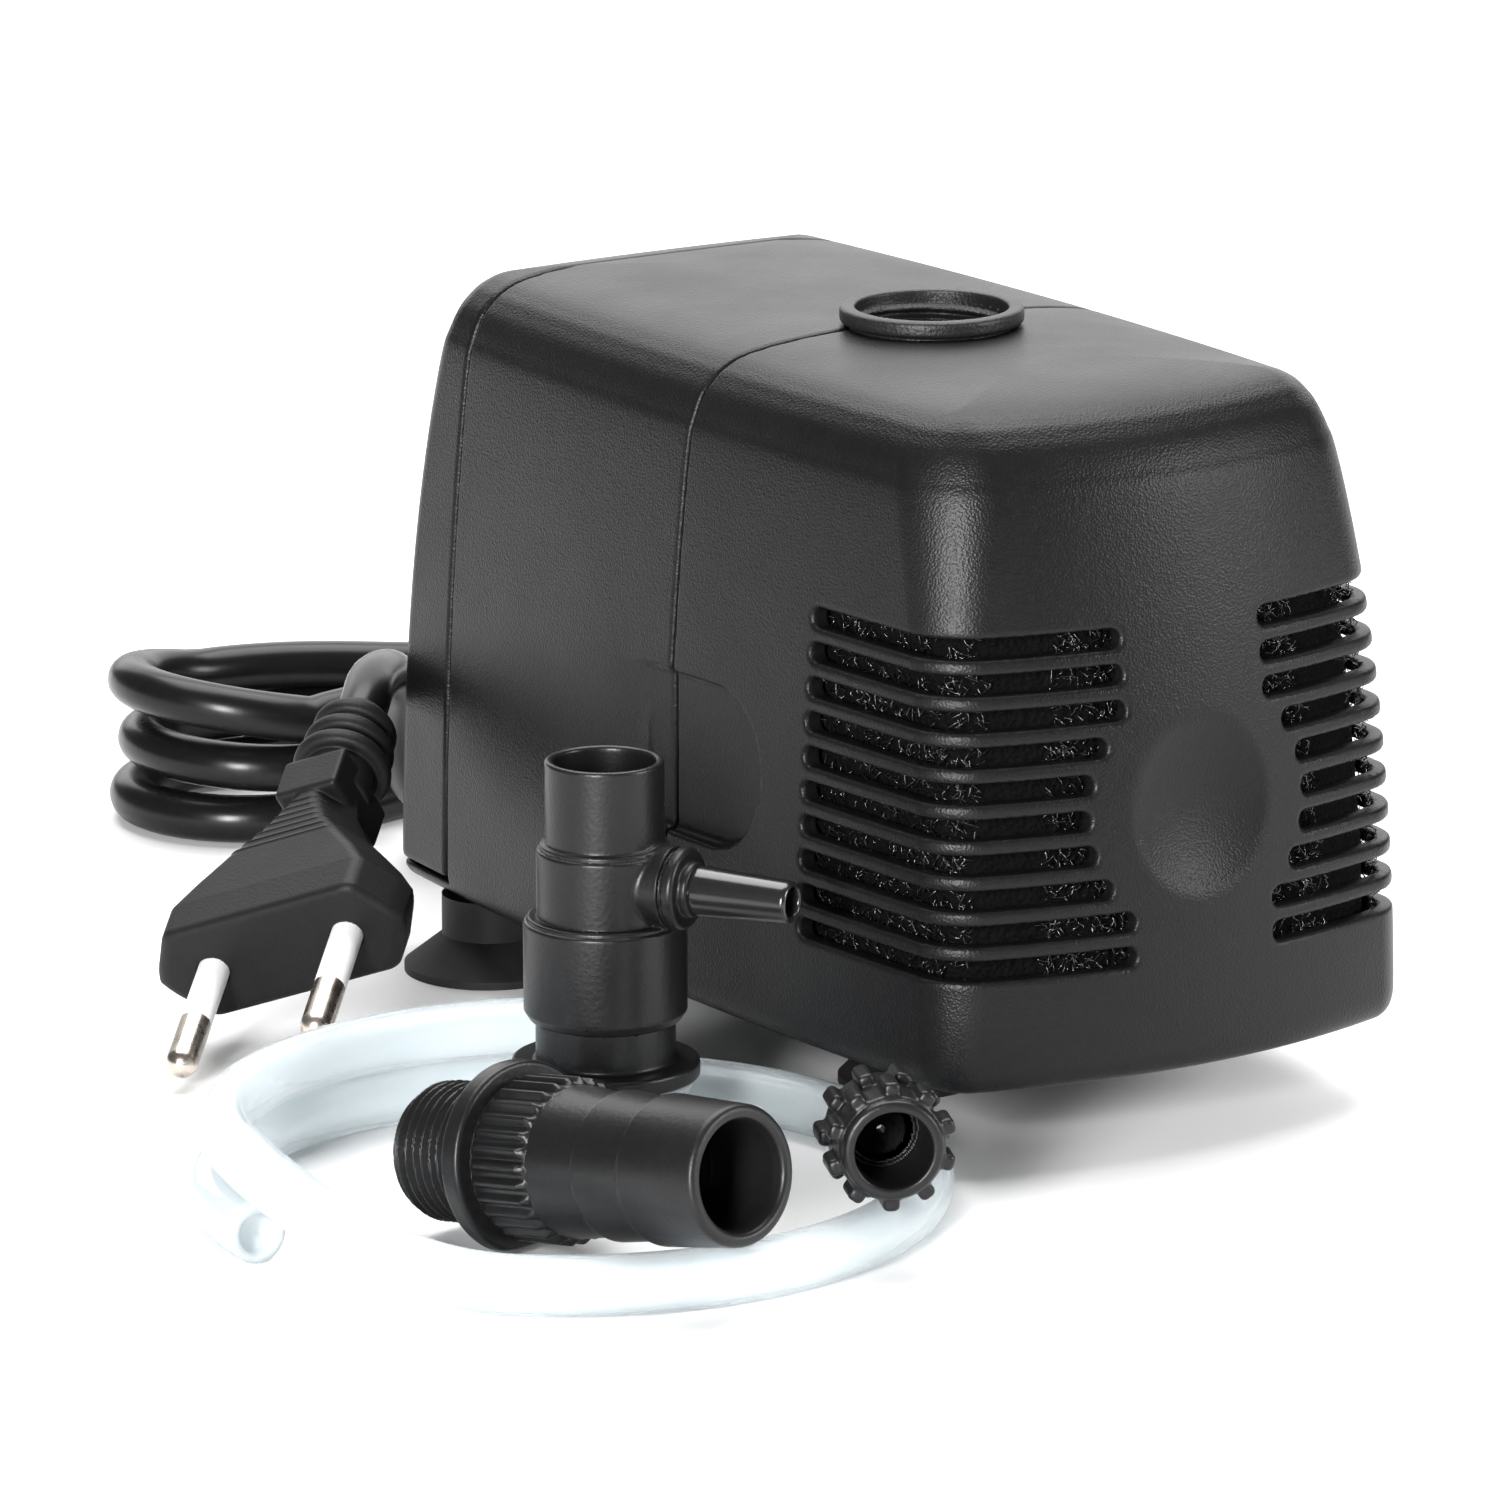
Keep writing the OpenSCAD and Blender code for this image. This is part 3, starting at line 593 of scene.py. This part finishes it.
def nozzle_shape(x, y, z):
    """The smooth tapered air spout of the tee."""
    rho, _ = polar(x, y)
    s = rod(rho, z, 2.9, 9.5, 12.4, 0.3)
    s = np.minimum(s, taper(rho, z, 3.0, 2.5, 12.2, 24.8, 0.7))
    return smooth_max(s, 1.75 - rho, 0.4)


def hose_shape(x, y, z):
    """The hose tail: thread, flange with one flat, fluted collar and three soft steps."""
    rho, turn = polar(x, y)
    s = thread(rho, turn, z, 8.25, 0.8, 0, 12.6)
    flange = smooth_max(rod(rho, z, 11.2, 12.2, 15.0, 0.7), x - 10.2, 0.5)
    s = smooth_min(s, flange, 0.3)
    rib = np.abs(((turn * FLUTES / (2 * np.pi)) % 1) - 0.5) * 2
    fade = np.clip((z - 15) / 1.0, 0, 1) * np.clip((24.2 - z) / 1.2, 0, 1)
    collar = 8.95 + 0.75 * fade * np.clip(1.6 * rib - 0.3, 0, 1)
    s = np.minimum(s, smooth_max((rho - collar) * 0.85, np.abs(z - 19.4) - 4.9, 0.9))
    s = np.minimum(s, taper(rho, z, 8.9, 8.05, 23.4, 31.4, 0.9))
    s = smooth_min(s, taper(rho, z, 8.75, 8.05, 30.9, 39, 0.9), 0.3)
    s = smooth_min(s, taper(rho, z, 8.75, 8.1, 38.4, 50.5, 0.9), 0.3)
    return smooth_max(s, 6.25 + 0.25 * np.clip((z - 49) / 1.5, 0, 1) - rho, 0.7)


def cap_shape(x, y, z):
    """The air cap, with two staggered rows of knobs."""
    rho, turn = polar(x, y)
    s = rod(rho, z, 6.25, -5.6, 5.0, 0.8)
    s = np.minimum(s, rod(rho, z, 5.9, -5.6, 5.9, 0.9))
    for shift, z0, z1 in ((0.0, -5.2, -0.3), (0.5, 0.1, 4.6)):
        a = (((turn * KNOBS / (2 * np.pi)) + shift) % 1 - 0.5) * (2 * np.pi / KNOBS)
        side = np.abs(rho * np.sin(a)) - 1.0
        knob = smooth_max(side, rho - 7.65, 0.7)
        knob = smooth_max(knob, np.abs(z - (z0 + z1) / 2) - (z1 - z0) / 2, 0.7)
        knob = np.maximum(knob, 4.9 - rho)
        s = smooth_min(s, knob, 0.35)
    return smooth_max(s, np.where(z > -3, 4.5 - rho, 0.5 - rho), 0.5)


def collar_shape(x, y, z):
    """The pump's outlet rim with the thread inside it."""
    rho, turn = polar(x, y - OUTLET_Y)
    s = rod(rho, z, 10.1, 82, TOP_Z + 1.5, 0.3)
    s = smooth_min(s, rod(rho, z, 11.3, TOP_Z + 0.3, TOP_Z + 2.3, 0.7), 0.3)
    phase = ((z / THREAD_PITCH - turn / (2 * np.pi)) % 1)
    ridge = np.clip(1.4 * np.abs(2 * phase - 1) - 0.2, 0, 1)
    bore = 8.33 + 0.75 * ridge
    bore = np.where(z > TOP_Z + 0.9, 9.4, bore)
    return smooth_max(s, (bore - rho) * 0.85, 0.35)


def gasket_shape(x, y, z):
    """The soft washer under the flange of the tee."""
    rho, _ = polar(x, y)
    return smooth_max(rod(rho, z, 10.3, 0, 1.55, 0.8), 8.3 - rho, 0.5)


# ---------------------------------------------------------------- plug
def plug_shape(x, y, z):
    """Local z runs from the pins' face to the neck, x from pin to pin."""
    ax, ay = np.abs(x), np.abs(y)
    half = np.interp(z, [0, 1, 6, 10, 14, 19, 24, 29, 34],
                     [17.4, 17.9, 17.9, 15.4, 12.4, 8.7, 6.5, 5.5, 5.3])
    thick = np.interp(z, [0, 6, 14, 22, 29, 34], [7.0, 7.0, 6.6, 5.6, 4.9, 4.7])
    hexa = (ax * 7 + (ay + 7 - thick) * 4.6 - half * 7) / 8.38
    s = smooth_max(hexa, ay - thick, 1.0)
    s = smooth_max(s, (ax - half) * 0.9, 1.6)
    s = smooth_max(s, np.abs(z - 17) - 17, 1.2)
    grip = np.abs(((z - 14.2) / 1.5) % 1 - 0.5) * 1.5
    bump = 0.22 * np.clip(1 - grip / 0.34, 0, 1) * (z > 14.2) * (z < 24.7) * (ax < half * 0.72)
    pad = smooth_max(smooth_max(ax - 4.4, ay - 5.7, 0.6), np.abs(z - 29.2) - 3.6, 0.9)
    s = smooth_min(s - bump * (ay > thick - 1.5), pad, 0.3)
    pin_seat = np.hypot(ax - PIN_OFFSET, y)
    return smooth_max(s, -np.maximum(pin_seat - 2.05, z - 4), 0.25)


def relief_shape(x, y, z):
    """The ringed sleeve behind the plug, open at the far end for the cord."""
    rho, _ = polar(x, y)
    s = taper(rho, z, 5.0, 3.85, 29.5, 46.7, 0.9)
    for k in range(3):
        s = smooth_min(s, rod(rho, z, 6.3 - 0.45 * k, 35 + 3.7 * k, 37.4 + 3.7 * k, 1.2), 0.5)
    return smooth_max(s, CORD_R * (z > 43) - rho - 20 * (z <= 43), 0.2)


def pin_shape(x, y, z):
    """Both pins: a round tip, and a thin core inside the white sleeve."""
    off = np.hypot(np.abs(x) - PIN_OFFSET, y)
    tip = np.maximum(-17.2 - z, 0)
    s = np.hypot(off, tip) - 2.0
    s = np.maximum(s, z + 9.9)
    core = np.maximum(off - 1.2, np.abs(z + 3.9) - 7.9)
    return np.minimum(s, core)


def sleeve_shape(x, y, z):
    """The white insulating sleeves round both pins."""
    off = np.hypot(np.abs(x) - PIN_OFFSET, y)
    s = smooth_max(off - 1.98, np.abs(z + 3.1) - 6.9, 0.35)
    return np.maximum(s, 1.25 - off)


def gland_shape(x, y, z):
    """The ringed gland that leads the cord out of the rear cover."""
    rho, _ = polar(x, y)
    s = taper(rho, z, 6.0, 4.1, 0, 26, 0.8)
    s = smooth_min(s, rod(rho, z, 6.5, 2.0, 4.6, 0.6), 0.4)
    for k in range(4):
        s = smooth_min(s, rod(rho, z, 6.1 - 0.4 * k, 7 + 4.6 * k, 8.8 + 4.6 * k, 0.7), 0.5)
    return smooth_max(s, CORD_R * (z > 20) - rho - 20 * (z <= 20), 0.2)


def placed(at, *turns):
    """A move to the point at, in mm, and then the turns in degrees about the piece's own axes."""
    m = Matrix.Translation(Vector(at) * MM)
    for axis, angle in turns:
        m = m @ Matrix.Rotation(math.radians(angle), 4, axis)
    return m


# ---------------------------------------------------------------- cords
LAYER = 6.5
HANK_X0 = -14
HANK_X1 = 122
HANK_Y = 133
HANK_R = 16
HANK_PINCH = 9
HANK_SAG = 0.95
PINCH_LENGTH = 40
TIE_X = 54
# From the gland to the hank, and from the plug down to the ground and along the hank's front.
LEAD = [(0, 83, 20), (0, 88, 20), (-1, 97, 20), (-4, 106.5, 19.4), (-8, 114.5, 17.6), (-14, 117, 16.35)]
TAIL = [(-45, 53.4, 31.8), (-41.3, 57.3, 34.2), (-36.4, 63.4, 35.6), (-30.5, 69.3, 34.6), (-25, 76.5, 31),
        (-20.5, 84.5, 25), (-15.5, 91.5, 17.5), (-8, 98.4, 9.8), (2, 103.6, 4.8), (16, 107.8, 3.4),
        (32, 110, 3.3), (62, 110.5, 3.3), (92, 110.5, 3.3), (122, 110.5, 3.3)]


def arc(x0, z_of, r_of, left, steps=18):
    """Half a turn at one end of the hank: front to rear at the left, rear to front at the right."""
    line = []
    for i in range(steps + 1):
        s = i / steps
        a = math.radians(-90 - 180 * s) if left else math.radians(90 - 180 * s)
        line.append((x0 + r_of(s) * math.cos(a), HANK_Y + r_of(s) * math.sin(a), z_of(s)))
    return line


def straight(x0, x1, side, z, layer, steps=40):
    """One long strand of the hank on its rear (+1) or front (-1) side, drawn in towards the middle."""
    line = []
    for i in range(1, steps):
        x = x0 + (x1 - x0) * i / steps
        t = max(0.0, min(1.0, (x - HANK_X0) / PINCH_LENGTH, (HANK_X1 - x) / PINCH_LENGTH))
        t = t * t * (3 - 2 * t)
        out = HANK_R - HANK_PINCH * t + (CORD_R * t if layer == 1 else 0)
        line.append((x, HANK_Y + side * out, z - HANK_SAG * layer * t * t))
    return line


def cord_route():
    """From the gland round the hank, top layer first, and along its front to the plug."""
    level = [0.5 * LAYER + 0.05, 1.5 * LAYER + 0.05, 2.5 * LAYER + 0.05]
    route = list(map(tuple, catmull(LEAD, 5)[:-1]))
    # How far the left end of each layer is drawn in and lifted, so that the loops lie unevenly.
    loose = {2: (-0.5, 3.2), 1: (1.2, 1.0), 0: (-0.5, 0.0)}
    for k in (2, 1, 0):
        push, lift = loose[k]
        route += arc(HANK_X0, lambda s, z=level[k], u=lift: z + u * math.sin(math.pi * s),
                     lambda s, p=push: HANK_R - p * math.sin(math.pi * s) ** 2, True)
        route += straight(HANK_X0, HANK_X1, 1, level[k], k)
        if k:
            route += arc(HANK_X1, lambda s, z=level[k - 1]: z + LAYER * math.cos(math.pi * s / 2),
                         lambda s: HANK_R, False)
            route += straight(HANK_X1, HANK_X0, -1, level[k - 1], k - 1)
    route += arc(HANK_X1, lambda s: level[0],
                 lambda s: HANK_R + LAYER * math.sin(math.pi * s / 2), False)
    tail = catmull(TAIL[::-1], 5)
    return np.array(route + list(map(tuple, tail[1:])))


def even(p, step):
    """The same line with points step mm apart."""
    at = np.concatenate([[0], np.cumsum(np.linalg.norm(np.diff(p, axis=0), axis=1))])
    n = max(2, int(round(at[-1] / step)) + 1)
    want = np.linspace(0, at[-1], n)
    return np.stack([np.interp(want, at, p[:, i]) for i in range(3)], 1)


def tube(name, line, radius, sides, mat, bore=None):
    """A round tube along line; with a bore it is hollow with flat ends."""
    way = np.gradient(line, axis=0)
    way /= np.linalg.norm(way, axis=1)[:, None]
    across = np.cross(way[0], (0.1, 0.2, 1.0))
    across /= np.linalg.norm(across)
    frames = []
    for d in way:
        across = across - (across @ d) * d
        across /= np.linalg.norm(across)
        frames.append((across, np.cross(d, across)))
    turn = 2 * np.pi * np.arange(sides) / sides
    n = len(line)

    def rings(r):
        return np.concatenate([p + r * (np.cos(turn)[:, None] * u + np.sin(turn)[:, None] * v)
                               for p, (u, v) in zip(line, frames)])

    i = np.arange(n - 1)[:, None] * sides
    k = np.arange(sides)[None]
    j = (k + 1) % sides
    wall = np.stack([i + k, i + j, i + sides + j, i + sides + k], -1).reshape(-1, 4)
    a = np.arange(sides)
    b = (a + 1) % sides
    last = (n - 1) * sides
    m = n * sides
    if bore is None:
        points = np.vstack([rings(radius), line[:1], line[-1:]])
        start = np.stack([b, a, np.full(sides, m)], 1)
        stop = np.stack([last + a, last + b, np.full(sides, m + 1)], 1)
        return quad_tri_object(name, points, wall, np.vstack([start, stop]), mat)
    points = np.vstack([rings(radius), rings(bore)])
    start = np.stack([b, a, m + a, m + b], 1)
    stop = np.stack([last + a, last + b, m + last + b, m + last + a], 1)
    return mesh_object(name, points, np.vstack([wall, wall[:, ::-1] + m, start, stop]), mat)


def quad_tri_object(name, points, quads, tris, mat):
    """As mesh_object, for a mesh of both quads and triangles."""
    mesh = bpy.data.meshes.new(name)
    faces = [tuple(map(int, q)) for q in quads] + [tuple(map(int, t)) for t in tris]
    mesh.from_pydata([tuple(p * MM) for p in points], [], faces)
    mesh.shade_smooth()
    mesh.materials.append(mat)
    obj = bpy.data.objects.new(name, mesh)
    bpy.context.scene.collection.objects.link(obj)
    return obj


ROUTE = even(cord_route(), 2.5)
mains_cord = tube("mains_cord", ROUTE, CORD_R, 24, CORD)
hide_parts("cord_lead", "cord_hank", "cord_tail")
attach(mains_cord, "pump")

AIR_R = 3.5
AIR_CENTRE = (-76, -47)
AIR_RADIUS = 41.3
AIR_TURNS = 1.36
AIR_STEPS = 240
CLIMB_FROM = 0.86
CLIMB_TO = 1.04
CLIMB_INWARD = 1.2


def air_route():
    """A turn and a third, climbing onto its own start as the first turn closes; t counts turns."""
    rise = 2 * AIR_R + 0.3
    line = []
    for i in range(AIR_STEPS + 1):
        t = AIR_TURNS * i / AIR_STEPS
        part = min(max((t - CLIMB_FROM) / (CLIMB_TO - CLIMB_FROM), 0), 1)
        lift = (1 - math.cos(math.pi * part)) / 2
        r = AIR_RADIUS - CLIMB_INWARD * min(max((t - CLIMB_FROM) / 0.1, 0), 1)
        a = math.radians(178 - 360 * t)
        line.append((AIR_CENTRE[0] + r * math.cos(a), AIR_CENTRE[1] + r * math.sin(a),
                     AIR_R + 0.1 + rise * lift))
    return np.array(line)


AIR_LINE = even(air_route(), 2.0)
air_hose = tube("air_hose", AIR_LINE, AIR_R, 32, SILICONE, bore=2.4)
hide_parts("air_tube")
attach(air_hose, "pump")


# ---------------------------------------------------------------- pieces
def piece(name, f, low, high, step, mat, body, node, matrix=None):
    """One moulded piece that stands for one CAD node, between the corners low and high."""
    obj = moulding(name, f, low, high, step, mat, matrix)
    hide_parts(node)
    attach(obj, body)
    return obj


# The steps of the grids, for large and for small pieces.
FINE = 0.5
SMALL = 0.24

piece("cage_shell", cage_shape, (-40, -72, 7), (40, -5, 93), FINE, SHELL, "cage", "front_cage")
piece("housing_shell", housing_shape, (-40, -8, 7), (40, 67, 93), FINE, SHELL, "pump", "motor_housing")
piece("cover_shell", cover_shape, (-40, 46, 7), (40, 67, 93), FINE, SHELL, "pump", "rear_cover")

TEE_AT = (-62.8, -33.9, 0.1)
SPOUT_AT = (TEE_AT[0], TEE_AT[1], TEE_AT[2] + SPOUT_HEIGHT)
piece("tee_pipe", tee_shape, (-13, -13, -1), (13, 13, 51), SMALL + 0.04, FITTING, "tee", "tee_body",
      placed(TEE_AT))
piece("tee_spout", nozzle_shape, (-4, -4, 9), (4, 4, 26), SMALL * 0.8, NOZZLE, "tee", "tee_nozzle",
      placed(SPOUT_AT, ("Z", SPOUT_TURN), ("Y", 90)))
piece("tee_washer", gasket_shape, (-11.5, -11.5, -1), (11.5, 11.5, 2.6), SMALL, SILICONE, "tee",
      "tee_gasket", placed((TEE_AT[0], TEE_AT[1], 9.4)))
piece("hose_barb", hose_shape, (-12.5, -12.5, -1), (12.5, 12.5, 52), SMALL, FITTING, "hose_fitting",
      "hose_tail", placed((-91.9, -44, 9.1), ("Z", -78.5), ("Y", 81.5)))
piece("knurled_cap", cap_shape, (-9, -9, -7), (9, 9, 7.5), SMALL * 0.8, FITTING, "air_cap",
      "regulator_cap", placed((-57.3, -84.9, 15.1), ("Z", -114), ("Y", 90)))

PLUG_PLACE = placed((-72.8, 25.2, 13.8), ("Z", -44.5), ("X", -65.5), ("Z", -21.5))
plug = piece("plug_moulding", plug_shape, (-19, -8.5, -1.5), (19, 8.5, 36), SMALL + 0.06, PLUG, "pump",
             "plug_body", PLUG_PLACE)
relief = piece("plug_relief", relief_shape, (-8, -8, 28.5), (8, 8, 48.5), SMALL, PLUG, "pump",
               "plug_strain_relief", PLUG_PLACE)
pins = piece("plug_contacts", pin_shape, (-12.5, -3, -20.5), (12.5, 3, 5), SMALL * 0.8, NICKEL, "pump",
             "plug_pins", PLUG_PLACE)
sleeves = piece("contact_sleeves", sleeve_shape, (-12.5, -3, -11), (12.5, 3, 4.5), SMALL * 0.8, SLEEVE,
                "pump", "pin_sleeves", PLUG_PLACE)
piece("cord_gland", gland_shape, (-8, -8, -1), (8, 8, 27.5), SMALL + 0.06, PLUG, "pump", "cable_gland",
      placed(GLAND_AT, ("X", -90)))


def outlet_piece():
    """The pump chamber from the CAD below the outlet, with a threaded collar on top."""
    collar = moulding("outlet_collar", collar_shape, (-12.5, OUTLET_Y - 12.5, 80.5),
                      (12.5, OUTLET_Y + 12.5, 94), SMALL + 0.04, GRAINED)
    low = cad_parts["pump_chamber"].data.copy()
    bm = bmesh.new()
    bm.from_mesh(low)
    geometry = bm.verts[:] + bm.edges[:] + bm.faces[:]
    bmesh.ops.bisect_plane(bm, geom=geometry, plane_co=(0, 0, 0.0822), plane_no=(0, 0, 1),
                           clear_outer=True)
    bm.to_mesh(low)
    bm.free()
    body = bpy.data.objects.new("chamber_body", low)
    bpy.context.scene.collection.objects.link(body)
    set_material(body, INNER)
    for obj, node in ((body, "pump_chamber"), (collar, "pump_chamber")):
        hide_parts(node)
        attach(obj, "pump")


outlet_piece()


STRANDS = 7000
NOSE_SHARE = 0.45


def foam_strands():
    """Glossy bent strands on the sponge behind the slots, aimed in from outside the shell."""
    rng = np.random.default_rng(SEED)
    count = STRANDS
    z = rng.uniform(18, 66, count)
    along = rng.uniform(-1, 1, count)
    nose = np.abs(along) < NOSE_SHARE
    x = np.where(nose, along / NOSE_SHARE * 30, np.sign(along) * 38)
    y = np.where(nose, -72.0, -66 + (np.abs(along) - NOSE_SHARE) / (1 - NOSE_SHARE) * 34)
    p = np.stack([x, y, z], 1)
    aim = np.stack([np.zeros(count), np.full(count, -45.0), z], 1) - p
    aim /= np.linalg.norm(aim, axis=1)[:, None]
    depth = WALL + 0.1 + rng.uniform(-0.5, 0.5, count)
    for _ in range(14):
        d = envelope(p[:, 0], p[:, 1], p[:, 2]) + depth
        p = p + aim * d[:, None] * 0.9
    n = gradient(envelope, p)
    n /= np.linalg.norm(n, axis=1)[:, None]
    u = np.cross(n, rng.normal(size=(count, 3)))
    u /= np.linalg.norm(u, axis=1)[:, None]
    length = rng.uniform(0.5, 1.9, count)[:, None]
    lift = rng.uniform(-0.2, 0.5, count)[:, None]
    ends = [p - u * length / 2 - n * 0.25, p + n * lift, p + u * length / 2 - n * 0.25]
    w = np.cross(n, u)
    r = rng.uniform(0.05, 0.1, count)[:, None]
    rows = []
    for c in ends:
        rows += [c + r * w, c + r * (-0.5 * w + 0.87 * n), c + r * (-0.5 * w - 0.87 * n)]
    points = np.stack(rows, 1).reshape(-1, 3)
    base = np.arange(count)[:, None, None] * 9
    local = np.array([[s * 3 + k, s * 3 + (k + 1) % 3, s * 3 + 3 + (k + 1) % 3, s * 3 + 3 + k]
                      for s in range(2) for k in range(3)])
    faces = (base + local[None]).reshape(-1, 4)
    obj = mesh_object("sponge_strands", points, faces, STRAND)
    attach(obj, "cage")


foam_strands()

TIE_Z = 9.3
TIE_BEND_R = 5
TIE_THICK = 1.2
TIE_WIDE = 5


def tie_shape(x, y, z):
    """A flat band round the middle of the hank."""
    u = np.abs(y - HANK_Y) - 8.9
    v = np.abs(z - TIE_Z) - 3.6
    oval = np.hypot(np.maximum(u, 0), np.maximum(v, 0)) + np.minimum(np.maximum(u, v), 0) - TIE_BEND_R
    return smooth_max(np.abs(oval) - TIE_THICK / 2, np.abs(x - TIE_X) - TIE_WIDE / 2, 0.4)


hank_tie = moulding("hank_tie", tie_shape, (TIE_X - 4, HANK_Y - 16, -1),
                    (TIE_X + 4, HANK_Y + 16, 20), SMALL + 0.04, RUBBER)
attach(hank_tie, "pump")


# ---------------------------------------------------------------- floor and light
FLOOR_HALF = 6000.0


def make_floor():
    """A plain pale floor, large enough to fill the picture from every side."""
    half = FLOOR_HALF
    corners = np.array([(-half, -half, 0), (half, -half, 0), (half, half, 0), (-half, half, 0)])
    mat, nodes, links, shader = new_material("floor_paper", (0.9, 0.9, 0.9), 0.6, 0.2)
    at = coordinates(nodes, links, (1, 1, 1))
    add_bump(nodes, links, shader, noise(nodes, links, at, 500, 3.0), 0.04, 0.0001)
    obj = mesh_object("floor", corners, np.array([[0, 1, 2, 3]]), mat)


def softbox(name, at, to, size, power):
    """A rectangular area light at one point, facing another, in metres and watts."""
    light = bpy.data.lights.new(name, "AREA")
    light.shape = "RECTANGLE"
    light.size, light.size_y = size
    light.energy = power
    obj = bpy.data.objects.new(name, light)
    obj.location = at
    obj.rotation_mode = "QUATERNION"
    obj.rotation_quaternion = (Vector(to) - Vector(at)).to_track_quat("-Z", "Y")
    bpy.context.scene.collection.objects.link(obj)


def make_light():
    """A dim even world and four softboxes."""
    world = bpy.data.worlds.new("studio")
    world.use_nodes = True
    world.node_tree.nodes["Background"].inputs["Color"].default_value = (1, 1, 1, 1)
    world.node_tree.nodes["Background"].inputs["Strength"].default_value = 0.12
    bpy.context.scene.world = world
    softbox("top_softbox", (0.3, 0.5, 1.6), (0.05, 0.15, 0), (1.7, 1.3), 52)
    softbox("back_softbox", (0.95, 1.45, 0.8), (0, 0, 0.1), (2.4, 1.3), 21)
    softbox("corner_softbox", (-1.25, -1.0, 0.42), (0, 0, 0.05), (0.3, 0.6), 48)
    softbox("right_softbox", (1.0, -1.15, 0.5), (0, 0, 0.05), (0.6, 0.45), 15)


make_floor()
make_light()
bpy.context.scene.view_settings.view_transform = "Standard"
